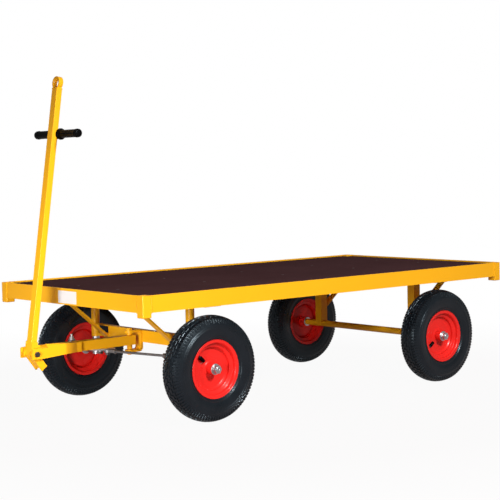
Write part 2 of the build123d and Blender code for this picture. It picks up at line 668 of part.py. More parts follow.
def make_rear_axle():
    """The rear legs, notched over the fixed axle, and the nuts on the axle's ends."""
    half_x = LEG_ALONG / 2
    half_y = LEG_ACROSS / 2
    bottom = AXLE_Z
    leg = block(
        REAR_AXLE_X - half_x, REAR_AXLE_X + half_x, LEG_Y - half_y, LEG_Y + half_y, bottom, BOLSTER_BOTTOM
    )
    hollow_x = half_x - LEG_WALL
    hollow_y = half_y - LEG_WALL
    leg -= block(
        REAR_AXLE_X - hollow_x,
        REAR_AXLE_X + hollow_x,
        LEG_Y - hollow_y,
        LEG_Y + hollow_y,
        bottom,
        BOLSTER_BOTTOM,
    )
    leg -= rod_y(REAR_AXLE_X, AXLE_Z, AXLE_RADIUS + SEAT_FIT, LEG_Y - half_y, LEG_Y + half_y)
    add("rear_legs", leg, to_right(leg))

    shoulder = HUB_INNER - FACE_GAP
    axle = rod_y(REAR_AXLE_X, AXLE_Z, AXLE_RADIUS, -shoulder, shoulder)
    axle += rod_y(REAR_AXLE_X, AXLE_Z, SPINDLE_RADIUS, -spindle_end(), spindle_end())
    add("rear_axle", axle)
    left_nuts = wheel_nut(REAR_AXLE_X)
    add("axle_nuts", *left_nuts, *[to_right(nut) for nut in left_nuts])


# Wheels, drawn round the Y axis with the outer side at +Y


def tyre_outline(inset_crown, inset_side, foot_radius, foot_width):
    """A closed tyre section, drawn in from the outside by the two insets, down to its foot."""
    crown = TYRE_RADIUS - inset_crown
    shoulder_radius = crown - TYRE_SHOULDER_DROP
    shoulder = TYRE_TREAD_WIDTH / 2 - inset_side
    belly = TYRE_WIDTH / 2 - inset_side
    belly_radius = (foot_radius + shoulder_radius) / 2
    return [
        ThreePointArc((shoulder_radius, -shoulder), (crown, 0), (shoulder_radius, shoulder)),
        ThreePointArc((shoulder_radius, shoulder), (belly_radius, belly), (foot_radius, foot_width)),
        Line((foot_radius, foot_width), (foot_radius, -foot_width)),
        ThreePointArc((foot_radius, -foot_width), (belly_radius, -belly), (shoulder_radius, -shoulder)),
    ]


def bead_ring(inner, outer, half_width):
    """A plain ring of rectangular section from one radius to the other."""
    corners = [(inner, -half_width), (outer, -half_width), (outer, half_width), (inner, half_width)]
    return ring_of(Polyline(*corners, close=True))


def make_tyre():
    """A hollow tyre whose beads sit between the rim's flanges."""
    bead_out = RIM_WIDTH / 2 - RIM_WALL - BEAD_GAP
    bead_in = bead_out - BEAD_WIDTH
    seat = BEAD_RADIUS + BEAD_GAP
    neck = BEAD_RADIUS + RIM_FLANGE_HEIGHT
    outside = ring_of(tyre_outline(0, 0, neck, bead_out))
    outside += bead_ring(seat, neck, bead_out)
    cavity = ring_of(tyre_outline(TYRE_TREAD_WALL, TYRE_SIDE_WALL, neck, bead_in))
    cavity += bead_ring(seat, neck, bead_in)
    return outside - cavity


def make_inner_tube():
    """The inner tube inside the tyre, with its valve stem through the rim."""
    bead_in = RIM_WIDTH / 2 - RIM_WALL - BEAD_GAP - BEAD_WIDTH
    neck = BEAD_RADIUS + RIM_FLANGE_HEIGHT
    crown_inset = TYRE_TREAD_WALL + TUBE_GAP
    side_inset = TYRE_SIDE_WALL + TUBE_GAP
    foot = bead_in - TUBE_GAP
    skin = ring_of(tyre_outline(crown_inset, side_inset, neck, foot))
    air = ring_of(
        tyre_outline(crown_inset + TUBE_WALL, side_inset + TUBE_WALL, neck + TUBE_WALL, foot - TUBE_WALL)
    )
    well = BEAD_RADIUS - RIM_WELL_DEPTH - RIM_WALL
    tip = well - VALVE_LENGTH
    stem = Pos(0, VALVE_OFFSET, 0) * rod_z(0, 0, VALVE_RADIUS, tip, neck + TUBE_WALL)
    bore = Pos(0, VALVE_OFFSET, 0) * rod_z(0, 0, VALVE_BORE_RADIUS, tip, neck + 2 * TUBE_WALL)
    return skin - air + stem - bore


def make_rim():
    """A pressed rim with a drop centre and a flat disc, with the holes for hub and valve."""
    seat = BEAD_RADIUS
    well = seat - RIM_WELL_DEPTH
    lip = seat + RIM_FLANGE_HEIGHT
    edge = RIM_WIDTH / 2
    step_in = RIM_WELL_WIDTH / 2
    step_out = step_in + RIM_WELL_SLOPE
    half = [
        (well, step_in),
        (seat, step_out),
        (seat, edge - RIM_WALL),
        (lip, edge - RIM_WALL),
        (lip, edge),
        (seat - RIM_WALL, edge),
        (seat - RIM_WALL, step_out + RIM_WALL / 2),
        (well - RIM_WALL, step_in + RIM_WALL / 2),
    ]
    outline = half + [(radius, -width) for radius, width in reversed(half)]
    barrel = ring_of(Polyline(*outline, close=True))
    disc_edge = well - RIM_WALL / 2
    hub_hole = HUB_RADIUS + SEAT_FIT
    disc = bead_ring(hub_hole, disc_edge, DISC_WALL / 2)
    hole = Pos(0, VALVE_OFFSET, 0) * rod_z(0, 0, VALVE_RADIUS + HOLE_PLAY, well - 2 * RIM_WALL, lip)
    return barrel + disc - hole


def make_hub():
    """The hub sleeve and the two bearings inside it."""
    half = HUB_LENGTH / 2
    inside = HUB_RADIUS - HUB_WALL
    sleeve = rod_y(0, 0, HUB_RADIUS, -half, half) - rod_y(0, 0, inside, -half, half)
    bearings = []
    for start, end in ((-half, BEARING_WIDTH - half), (half - BEARING_WIDTH, half)):
        race = rod_y(0, 0, inside - SEAT_FIT, start, end)
        bearings.append(race - rod_y(0, 0, SPINDLE_RADIUS + RUNNING_FIT, start, end))
    return [sleeve, *bearings]


def make_wheels():
    """The four wheels, with their outer sides outward and each valve at its own angle."""
    tyre = make_tyre()
    tube = make_inner_tube()
    rim = make_rim()
    hub = make_hub()
    for name, x, side, valve_angle in (
        ("front_left", KINGPIN_X, 1, 48.0),
        ("front_right", KINGPIN_X, -1, 150.0),
        ("rear_left", REAR_AXLE_X, 1, 126.0),
        ("rear_right", REAR_AXLE_X, -1, 20.0),
    ):
        turn = 0 if side > 0 else 180
        place = Pos(x, side * WHEEL_Y, AXLE_Z) * Rot(0, 0, turn) * Rot(0, valve_angle, 0)
        add(name + "_tyre", place * tyre)
        add(name + "_inner_tube", place * tube)
        add(name + "_rim", place * rim)
        add(name + "_hub", *[place * piece for piece in hub])


# Drawbar


def make_drawbar():
    """The drawbar tube with its pivot bush, fork plates, steering lug and bolts."""
    tail = PIVOT_X - DRAWBAR_TAIL
    nose = FORK_NOSE_X - DRAWBAR_NOSE_GAP
    lap_front = FORK_NOSE_X - FORK_FRONT_LENGTH - FORK_JOG
    lap_back = lap_front - FORK_LAP
    half = DRAWBAR_SIZE / 2
    bore = half - DRAWBAR_WALL
    tube = block(tail, nose, -half, half, DRAWBAR_BOTTOM, DRAWBAR_TOP)
    tube -= block(tail, nose, -bore, bore, DRAWBAR_BOTTOM + DRAWBAR_WALL, DRAWBAR_TOP - DRAWBAR_WALL)
    tube -= rod_z(PIVOT_X, 0, BUSH_RADIUS + SEAT_FIT, DRAWBAR_BOTTOM, DRAWBAR_TOP)
    add("drawbar_tube", tube)

    low = BRACKET_Z - BUSH_LENGTH / 2
    high = BRACKET_Z + BUSH_LENGTH / 2
    bush = rod_z(PIVOT_X, 0, BUSH_RADIUS, low, high)
    bush -= rod_z(PIVOT_X, 0, PIVOT_PIN_RADIUS + RUNNING_FIT, low, high)
    add("drawbar_bush", bush)

    inner = FORK_GAP / 2
    outer = FORK_OUTER
    jog_front = lap_front + FORK_JOG
    plan = plan_slab(
        [
            (lap_back, half),
            (lap_front, half),
            (jog_front, inner),
            (FORK_NOSE_X, inner),
            (FORK_NOSE_X, outer),
            (jog_front, outer),
            (lap_front, half + FORK_THICKNESS),
            (lap_back, half + FORK_THICKNESS),
        ],
        FORK_NOSE_BOTTOM - FORK_SHOULDER_HEIGHT,
        FORK_NOSE_TOP + FORK_SHOULDER_HEIGHT,
    )
    shoulder_x = FORK_NOSE_X - FORK_SHOULDER_SETBACK
    under = [
        (lap_back, DRAWBAR_BOTTOM),
        (jog_front, DRAWBAR_BOTTOM),
        (FORK_NOSE_X - FORK_KEEL_SETBACK, FORK_NOSE_BOTTOM + FORK_KEEL_RISE),
        (FORK_NOSE_X - FORK_KEEL_FRONT, FORK_NOSE_BOTTOM),
        (FORK_NOSE_X, FORK_NOSE_BOTTOM),
        (FORK_NOSE_X, FORK_NOSE_TOP - FORK_NOSE_CHAMFER),
        (FORK_NOSE_X - FORK_NOSE_CHAMFER, FORK_NOSE_TOP),
    ]
    stepped = [
        (shoulder_x, FORK_NOSE_TOP),
        (shoulder_x + FORK_SHOULDER_LEAN, FORK_NOSE_BOTTOM + FORK_SHOULDER_HEIGHT),
        (jog_front, DRAWBAR_TOP + FORK_TAPER_RISE),
        (lap_front, DRAWBAR_TOP),
        (lap_back, DRAWBAR_TOP),
    ]
    bolt_hole = rod_y(HANDLE_X, HANDLE_Z, HANDLE_BOLT_RADIUS + SEAT_FIT, half, outer)
    left = (plan & side_slab(under + stepped, half, outer)) - bolt_hole
    flat = (plan & side_slab(under + [(lap_back, FORK_NOSE_TOP)], half, outer)) - bolt_hole
    add("fork_plates", left, to_right(flat))

    lug_back = LUG_X - LUG_BACK
    lug_front = LUG_X + LUG_FRONT
    lug = plan_slab(
        [
            (lug_back, LUG_WIDTH / 2),
            (lug_back, -LUG_WIDTH / 2),
            (lug_front - LUG_TAPER, -LUG_WIDTH / 2),
            (lug_front, -LUG_NOSE_WIDTH / 2),
            (lug_front, LUG_NOSE_WIDTH / 2),
            (lug_front - LUG_TAPER, LUG_WIDTH / 2),
        ],
        LUG_BOTTOM,
        DRAWBAR_BOTTOM,
    )
    bolts = []
    for y in (LUG_SPREAD, -LUG_SPREAD):
        lug -= rod_z(LUG_X, y, ROD_STUD_RADIUS + SEAT_FIT, LUG_BOTTOM, DRAWBAR_BOTTOM)
        head_top = ROD_BOTTOM - FACE_GAP
        shank = rod_z(LUG_X, y, ROD_STUD_RADIUS, head_top, DRAWBAR_BOTTOM)
        head = Pos(LUG_X, y, head_top - ROD_NUT_HEIGHT) * hexagon(ROD_NUT_FLATS, ROD_NUT_HEIGHT)
        bolts.append(head + shank)
    add("steering_lug", lug)

    nut_end = outer + HANDLE_NUT_HEIGHT
    handle_bolt = rod_y(HANDLE_X, HANDLE_Z, HANDLE_BOLT_RADIUS, -outer, nut_end + THREAD_PROUD)
    handle_bolt += hex_y(HANDLE_X, HANDLE_Z, HANDLE_NUT_FLATS, -nut_end, -outer)
    handle_nut = hex_y(HANDLE_X, HANDLE_Z, HANDLE_NUT_FLATS, outer, nut_end)
    handle_nut -= rod_y(HANDLE_X, HANDLE_Z, HANDLE_BOLT_RADIUS + SEAT_FIT, outer, nut_end)
    add("drawbar_bolts", handle_bolt, *bolts)
    add("handle_nut", handle_nut)


# Handle, drawn upright with its pivot at the origin, X forward, then leaned back into place


def lean(shape):
    """Puts an upright handle piece at its parked lean on the fork."""
    return Pos(HANDLE_X, 0, HANDLE_Z) * Rot(0, -HANDLE_LEAN, 0) * shape


def heel_side(shape):
    """The heel's share of a handle piece: its mirror image across the mitre at the pivot."""
    angle = radians(HEEL_ANGLE / 2)
    return mirror(shape, about=Plane(origin=(0, 0, 0), x_dir=(0, 1, 0), z_dir=(sin(angle), 0, cos(angle))))


def mitred_tube(length):
    """A rounded rectangular tube up from the pivot, cut at the heel's mitre."""
    section = RectangleRounded(HANDLE_DEPTH, HANDLE_ACROSS, HANDLE_CORNER)
    inner_corner = HANDLE_CORNER - HANDLE_WALL
    hollow = RectangleRounded(HANDLE_DEPTH - 2 * HANDLE_WALL, HANDLE_ACROSS - 2 * HANDLE_WALL, inner_corner)
    start = -HANDLE_DEPTH
    tube = extrude(Pos(0, 0, start) * (section - hollow), length - start)
    below = Rot(0, HEEL_ANGLE / 2, 0) * Pos(0, 0, -HANDLE_ACROSS) * Box(
        4 * HANDLE_ACROSS, 4 * HANDLE_ACROSS, 2 * HANDLE_ACROSS
    )
    bush_hole = rod_y(0, 0, HANDLE_BUSH_RADIUS + SEAT_FIT, -HANDLE_ACROSS, HANDLE_ACROSS)
    return tube - below - bush_hole


def foot_cheek(y0, y1):
    """One cheek plate of the handle's foot, from y0 to y1."""
    strip = block(-HANDLE_DEPTH / 2, HANDLE_DEPTH / 2, y0, y1, 0, CHEEK_RISE)
    leg = heel_side(block(-CHEEK_LEG_WIDTH / 2, CHEEK_LEG_WIDTH / 2, y0, y1, 0, CHEEK_LEG))
    boss = rod_y(0, 0, CHEEK_RADIUS, y0, y1)
    lobe = rod_y(-LOBE_BACK, LOBE_RISE, LOBE_RADIUS, y0, y1)
    return strip + leg + boss + lobe


def make_handle():
    """The handle tube, its cranked heel, foot cheeks, tow eye, tee bar and grips."""
    half_x = HANDLE_DEPTH / 2
    half_y = HANDLE_ACROSS / 2
    eye_z = HANDLE_LENGTH - EYE_RADIUS
    add("handle_tube", lean(mitred_tube(eye_z - EYE_RADIUS)))
    add("heel_stub", lean(heel_side(mitred_tube(HEEL_LENGTH))))

    eye_half = EYE_THICKNESS / 2
    eye_foot = eye_z - EYE_RADIUS
    hole_z = HANDLE_LENGTH - EYE_HOLE_DROP
    eye = block(-half_x, half_x, -half_y, half_y, eye_foot, eye_foot + EYE_CAP)
    eye += block(-eye_half, eye_half, -half_y, half_y, eye_foot, eye_z)
    eye += Pos(0, 0, eye_z) * Rot(0, 90, 0) * Cylinder(EYE_RADIUS, EYE_THICKNESS)
    eye -= Pos(0, 0, hole_z) * Rot(0, 90, 0) * Cylinder(EYE_HOLE_RADIUS, EYE_THICKNESS)
    flare = Cone(EYE_HOLE_RADIUS, EYE_HOLE_RADIUS + EYE_CHAMFER, EYE_CHAMFER)
    for turn in (90, -90):
        eye -= Pos(0, 0, hole_z) * Rot(0, turn, 0) * Pos(0, 0, eye_half - EYE_CHAMFER / 2) * flare
    add("tow_eye", lean(eye))

    cheek_out = half_y + CHEEK_THICKNESS
    bush_half = FORK_GAP / 2 - FACE_GAP
    foot = rod_y(0, 0, HANDLE_BUSH_RADIUS, -bush_half, bush_half)
    foot += foot_cheek(half_y, cheek_out)
    foot += foot_cheek(-cheek_out, -half_y)
    foot -= rod_y(0, 0, HANDLE_BOLT_RADIUS + RUNNING_FIT, -bush_half, bush_half)
    add("handle_foot", lean(foot))

    tee_x = -(half_x + TEE_RADIUS)
    add("tee_bar", lean(rod_y(tee_x, TEE_HEIGHT, TEE_RADIUS, -TEE_HALF, TEE_HALF)))
    grip = rod_y(tee_x, TEE_HEIGHT, GRIP_RADIUS, GRIP_INNER, TEE_HALF + GRIP_END)
    grip += rod_y(tee_x, TEE_HEIGHT, GRIP_COLLAR_RADIUS, GRIP_INNER, GRIP_INNER + GRIP_COLLAR_WIDTH)
    grip_end = TEE_HALF + GRIP_END
    grip += rod_y(tee_x, TEE_HEIGHT, GRIP_BULB_RADIUS, grip_end - GRIP_BULB_LENGTH, grip_end)
    grip -= rod_y(tee_x, TEE_HEIGHT, TEE_RADIUS + SEAT_FIT, GRIP_INNER, TEE_HALF + SEAT_FIT)
    add("left_grip", lean(grip))
    add("right_grip", lean(to_right(grip)))


make_rails()
make_posts()
make_deck()
make_bolsters()
make_braces()
make_front_axle()
make_pivot_bracket()
make_knuckles()
make_tie_rods()
make_rear_axle()
make_wheels()
make_drawbar()
make_handle()

os.makedirs("parts", exist_ok=True)
for part_name, part_shape in PARTS.items():
    export_step(part_shape, os.path.join("parts", part_name + ".step"))
print(len(PARTS), "pieces written")
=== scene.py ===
"""Studio picture of a flat-bed hand cart with a steered front axle and a T-handle drawbar.

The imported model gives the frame, and the classes below dress it: finishes for the steel, the deck and
the rubber, pneumatic tyres with a moulded tread, pressed rims, grips, weld seams and deck screws.
All sizes are in metres, in the cart's own frame: X forward, Y to its left, Z up from the ground.
"""

from __future__ import annotations

import json
import logging
import math
from dataclasses import dataclass, field
from enum import Enum
from typing import Any, Iterable, Optional, Sequence, Union

import bmesh
import bpy
from mathutils import Matrix, Vector

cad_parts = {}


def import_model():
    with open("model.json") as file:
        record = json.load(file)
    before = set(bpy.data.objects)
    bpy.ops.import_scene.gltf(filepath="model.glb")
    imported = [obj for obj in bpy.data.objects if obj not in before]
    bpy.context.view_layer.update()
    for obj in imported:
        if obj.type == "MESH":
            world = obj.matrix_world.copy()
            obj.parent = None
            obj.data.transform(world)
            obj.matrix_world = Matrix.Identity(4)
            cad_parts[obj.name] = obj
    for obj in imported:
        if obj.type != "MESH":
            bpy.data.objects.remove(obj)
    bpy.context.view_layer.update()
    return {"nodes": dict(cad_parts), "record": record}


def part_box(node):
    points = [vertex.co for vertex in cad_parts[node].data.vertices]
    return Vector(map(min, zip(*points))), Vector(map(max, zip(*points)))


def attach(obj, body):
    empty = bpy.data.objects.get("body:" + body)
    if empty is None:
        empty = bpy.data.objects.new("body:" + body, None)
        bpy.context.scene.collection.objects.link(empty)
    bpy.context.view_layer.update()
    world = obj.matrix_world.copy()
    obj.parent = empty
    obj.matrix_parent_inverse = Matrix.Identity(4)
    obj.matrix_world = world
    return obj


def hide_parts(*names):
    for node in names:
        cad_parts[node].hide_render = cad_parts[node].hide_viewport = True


LOG = logging.getLogger("hand_cart")

Colour = tuple[float, float, float]
Point = tuple[float, float, float]
Flat = tuple[float, float]


class Slot(Enum):
    """The record's material slots."""

    YELLOW = "yellow_paint"
    RED = "red_paint"
    DECK = "deck_brown"
    TYRE = "tyre_black"
    GRIP = "grip_black"
    ZINC = "zinc_plate"


class Corner(Enum):
    """The four wheels, each with its body, its side of the cart and its valve's angle from upright."""

    FRONT_LEFT = ("front_left", 1, 48.0)
    FRONT_RIGHT = ("front_right", -1, 150.0)
    REAR_LEFT = ("rear_left", 1, 126.0)
    REAR_RIGHT = ("rear_right", -1, 20.0)

    @property
    def label(self) -> str:
        """The wheel's name in node names."""
        return self.value[0]

    @property
    def body(self) -> str:
        """The body that the wheel's pieces ride on."""
        return self.value[0] + "_wheel"

    @property
    def side(self) -> int:
        """1 on the cart's left, -1 on its right."""
        return self.value[1]

    @property
    def hand(self) -> str:
        """The side's word in node names."""
        return "left" if self.side > 0 else "right"

    @property
    def axle(self) -> str:
        """The node that the wheel turns on."""
        return self.hand + "_stub_axle" if self.label.startswith("front") else "rear_axle"

    @property
    def axle_body(self) -> str:
        """The body that carries the wheel's axle."""
        return self.hand + "_steering" if self.label.startswith("front") else "chassis"

    @property
    def valve_angle(self) -> float:
        """The valve's angle from upright, in radians, turning forward on the left side."""
        return math.radians(self.value[2])


class Sock:
    """A node's output socket that takes part in Python arithmetic."""

    def __init__(self, graph: "Graph", socket: bpy.types.NodeSocket) -> None:
        """Keeps the socket and the graph it belongs to."""
        self.graph = graph
        self.socket = socket

    def out(self, name: str) -> "Sock":
        """Another output of the same node, by name."""
        return Sock(self.graph, self.socket.node.outputs[name])

    def _math(self, operation: str, first: Any, second: Any) -> "Sock":
        """A Math node on two values or sockets."""
        return self.graph.node("ShaderNodeMath", {"operation": operation}, {0: first, 1: second})

    def __add__(self, other: Any) -> "Sock":
        """self + other."""
        return self._math("ADD", self, other)

    def __radd__(self, other: Any) -> "Sock":
        """other + self."""
        return self._math("ADD", other, self)

    def __sub__(self, other: Any) -> "Sock":
        """self - other."""
        return self._math("SUBTRACT", self, other)

    def __rsub__(self, other: Any) -> "Sock":
        """other - self."""
        return self._math("SUBTRACT", other, self)

    def __mul__(self, other: Any) -> "Sock":
        """self * other."""
        return self._math("MULTIPLY", self, other)

    def __rmul__(self, other: Any) -> "Sock":
        """other * self."""
        return self._math("MULTIPLY", other, self)

    def __truediv__(self, other: Any) -> "Sock":
        """self / other."""
        return self._math("DIVIDE", self, other)

    def __rtruediv__(self, other: Any) -> "Sock":
        """other / self."""
        return self._math("DIVIDE", other, self)

    def between(self, low: float, high: float) -> "Sock":
        """The value as a share of the way from low to high, held within 0 and 1.

        Args:
            low: the value that gives 0.
            high: the value that gives 1.

        Returns:
            The share as a socket.
        """
        scale = 1.0 / (high - low)
        settings = {"operation": "MULTIPLY_ADD", "use_clamp": True}
        return self.graph.node("ShaderNodeMath", settings, {0: self, 1: scale, 2: -low * scale})

    def largest(self, other: Any) -> "Sock":
        """The larger of this and another value."""
        return self._math("MAXIMUM", self, other)

    def sine(self) -> "Sock":
        """The value's sine."""
        return self.graph.node("ShaderNodeMath", {"operation": "SINE"}, {0: self})


class Graph:
    """Adds nodes and links to one node tree."""

    def __init__(self, tree: bpy.types.NodeTree) -> None:
        """Keeps the tree."""
        self.tree = tree
        self.column = 0

    def node(
        self,
        kind: str,
        settings: Optional[dict[str, Any]] = None,
        inputs: Optional[dict[Union[str, int], Any]] = None,
        outlet: Union[str, int] = 0,
    ) -> Sock:
        """Adds one node.

        Args:
            kind: the node's type.
            settings: the node's own properties, set first.
            inputs: a value or a link for each named or numbered input socket.
            outlet: the output that the result stands for.

        Returns:
            The node's output, or its first input where it has no output.
        """
        made = self.tree.nodes.new(kind)
        made.location = (self.column % 12 * 180, -(self.column // 12) * 240)
        self.column += 1
        for key, value in (settings or {}).items():
            setattr(made, key, value)
        for key, value in (inputs or {}).items():
            if isinstance(value, Sock):
                self.tree.links.new(value.socket, made.inputs[key])
            else:
                made.inputs[key].default_value = value
        return Sock(self, made.outputs[outlet] if made.outputs else made.inputs[0])


class Surface(Graph):
    """The node tree of one material, with the patterns that the finishes share."""

    def __init__(self, name: str) -> None:
        """Starts an empty material.

        Args:
            name: the material's name.
        """
        self.material = bpy.data.materials.new(name)
        self.material.use_nodes = True
        self.material.node_tree.nodes.clear()
        super().__init__(self.material.node_tree)
        self.place = self.node("ShaderNodeTexCoord", outlet="Object")

    def noise(self, scale: float, detail: float = 2.0, place: Optional[Sock] = None) -> Sock:
        """A soft noise from 0 to 1, of a given fineness per metre."""
        inputs = {"Vector": place or self.place, "Scale": scale, "Detail": detail}
        return self.node("ShaderNodeTexNoise", {"noise_dimensions": "3D"}, inputs)

    def cells(self, scale: float) -> Sock:
        """The distance field of a cell pattern, of a given fineness per metre."""
        inputs = {"Vector": self.place, "Scale": scale}
        return self.node("ShaderNodeTexVoronoi", {"feature": "F1"}, inputs)

    def blend(self, share: Any, first: Colour, second: Colour) -> Sock:
        """A colour between two others."""
        inputs = {0: share, 6: (*first, 1.0), 7: (*second, 1.0)}
        return self.node("ShaderNodeMix", {"data_type": "RGBA"}, inputs, outlet=2)

    def stretched(self, scale: Point) -> Sock:
        """Object coordinates stretched along the axes."""
        inputs = {"Vector": self.place, "Scale": scale}
        return self.node("ShaderNodeMapping", {"vector_type": "POINT"}, inputs)

    def bump(self, height: Sock, depth: float) -> Sock:
        """A surface normal raised by a height field, with its depth in metres."""
        return self.node("ShaderNodeBump", {}, {"Height": height, "Distance": depth, "Strength": 1.0})

    def finish(self, **inputs: Any) -> bpy.types.Material:
        """Closes the tree with one shader.

        Args:
            inputs: the shader's sockets, with an underscore for each space in a name.

        Returns:
            The material.
        """
        named = {key.replace("_", " "): value for key, value in inputs.items()}
        shader = self.node("ShaderNodeBsdfPrincipled", {}, named)
        self.node("ShaderNodeOutputMaterial", {}, {"Surface": shader})
        return self.material


@dataclass(frozen=True)
class PowderCoat:
    """Glossy paint on steel, with a fine orange peel and a slow drift in tone."""

    name: str
    colour: Colour
    deep: Colour
    gloss: float
    coat: float = 0.05
    specular: float = 0.22
    coat_roughness: float = 0.12
    peel_scale: float = 520.0
    peel_depth: float = 0.00012
    drift_scale: float = 4.0
    drift_share: float = 0.35
    speck_scale: float = 150.0
    speck_share: float = 0.12
    smear_scale: float = 11.0
    smear_share: float = 0.1

    def material(self) -> bpy.types.Material:
        """Mixes the paint.

        Returns:
            The paint as a material.
        """
        surface = Surface(self.name)
        drift = surface.noise(self.drift_scale, 3.0).between(0.3, 0.75)
        specks = surface.noise(self.speck_scale, 2.0).between(0.66, 0.74)
        tone = (drift * self.drift_share + specks * self.speck_share).between(0.0, 1.0)
        peel = surface.noise(self.peel_scale, 1.5)
        smear = surface.noise(self.smear_scale, 4.0).between(0.35, 0.8)
        return surface.finish(
            Base_Color=surface.blend(tone, self.colour, self.deep),
            Roughness=self.gloss + smear * self.smear_share,
            Normal=surface.bump(peel, self.peel_depth),
            Specular_IOR_Level=self.specular,
            Coat_Weight=self.coat,
            Coat_Roughness=self.coat_roughness,
        )


@dataclass(frozen=True)
class FilmFacedPly:
    """A dark film-faced plywood deck with a shallow wire-mesh imprint."""

    name: str
    colour: Colour
    worn: Colour
    mesh_pitch: float = 0.0075
    mesh_depth: float = 0.0002
    mesh_share: float = 0.12
    patch_scale: float = 2.6
    patch_share: float = 0.45
    fibre_scale: Point = (9.0, 160.0, 60.0)
    fibre_share: float = 0.25
    fibre_depth: float = 0.3
    roughness: float = 0.78
    roughness_drift: float = 0.12

    def material(self) -> bpy.types.Material:
        """Lays the deck's film.

        Returns:
            The deck as a material.
        """
        surface = Surface(self.name)
        frequency = 2.0 * math.pi / self.mesh_pitch
        axes = surface.node("ShaderNodeSeparateXYZ", {}, {"Vector": surface.place})
        along = axes.out("X") + axes.out("Y")
        across = axes.out("X") - axes.out("Y")
        ridge = (along * frequency).sine().between(0.6, 1.0)
        groove = (across * frequency).sine().between(0.6, 1.0)
        imprint = ridge.largest(groove)
        patches = surface.noise(self.patch_scale, 4.0).between(0.3, 0.8)
        fibres = surface.noise(1.0, 3.0, surface.stretched(self.fibre_scale)).between(0.4, 0.75)
        tone = patches * self.patch_share + fibres * self.fibre_share + imprint * self.mesh_share
        return surface.finish(
            Base_Color=surface.blend(tone.between(0.0, 1.0), self.colour, self.worn),
            Roughness=self.roughness + patches * self.roughness_drift,
            Normal=surface.bump(imprint + fibres * self.fibre_depth, self.mesh_depth),
            Specular_IOR_Level=0.0,
        )


@dataclass(frozen=True)
class MouldedRubber:
    """Black rubber with a mould's fine grain and a faint bloom."""

    name: str
    colour: Colour
    bloom: Colour
    roughness: float
    specular: float = 0.12
    gloss_tint: Colour = (0.74, 0.90, 1.0)
    grain_scale: float = 700.0
    grain_depth: float = 0.00015
    cloud_scale: float = 14.0
    cloud_share: float = 0.7
    roughness_drift: float = 0.12

    def material(self) -> bpy.types.Material:
        """Moulds the rubber.

        Returns:
            The rubber as a material.
        """
        surface = Surface(self.name)
        cloud = surface.noise(self.cloud_scale, 4.0).between(0.42, 0.8)
        grain = surface.noise(self.grain_scale, 2.0)
        return surface.finish(
            Base_Color=surface.blend(cloud * self.cloud_share, self.colour, self.bloom),
            Roughness=self.roughness + cloud * self.roughness_drift,
            Normal=surface.bump(grain, self.grain_depth),
            Specular_IOR_Level=self.specular,
            Specular_Tint=(*self.gloss_tint, 1.0),
        )


@dataclass(frozen=True)
class ZincPlate:
    """Zinc-plated steel with a faint spangle and drawn lines."""

    name: str
    colour: Colour
    dull: Colour
    roughness: float
    roughness_drift: float = 0.14
    spangle_scale: float = 420.0
    spangle_share: float = 0.5
    drawn_scale: Point = (40.0, 900.0, 900.0)
    drawn_share: float = 0.4
    drawn_depth: float = 0.00004

    def material(self) -> bpy.types.Material:
        """Plates the steel.

        Returns:
            The plating as a material.
        """
        surface = Surface(self.name)
        spangle = surface.cells(self.spangle_scale)
        drawn = surface.noise(1.0, 3.0, surface.stretched(self.drawn_scale))
        lines = drawn.between(0.35, 0.7)
        tone = (spangle * self.spangle_share + lines * self.drawn_share).between(0.0, 1.0)
        return surface.finish(
            Base_Color=surface.blend(tone, self.colour, self.dull),
            Metallic=1.0,
            Roughness=self.roughness + tone * self.roughness_drift,
            Normal=surface.bump(drawn, self.drawn_depth),
        )


@dataclass(frozen=True)
class PlainFilm:
    """A blank self-adhesive film."""

    name: str
    colour: Colour
    aged: Colour
    roughness: float = 0.34
    roughness_drift: float = 0.1
    cloud_scale: float = 22.0
    grain_scale: float = 260.0
    grain_depth: float = 0.00005

    def material(self) -> bpy.types.Material:
        """Cuts the film.

        Returns:
            The film as a material.
        """
        surface = Surface(self.name)
        cloud = surface.noise(self.cloud_scale, 3.0)
        grain = surface.noise(self.grain_scale, 1.0)
        return surface.finish(
            Base_Color=surface.blend(cloud.between(0.45, 0.8), self.colour, self.aged),
            Roughness=self.roughness + cloud * self.roughness_drift,
            Normal=surface.bump(grain, self.grain_depth),
        )


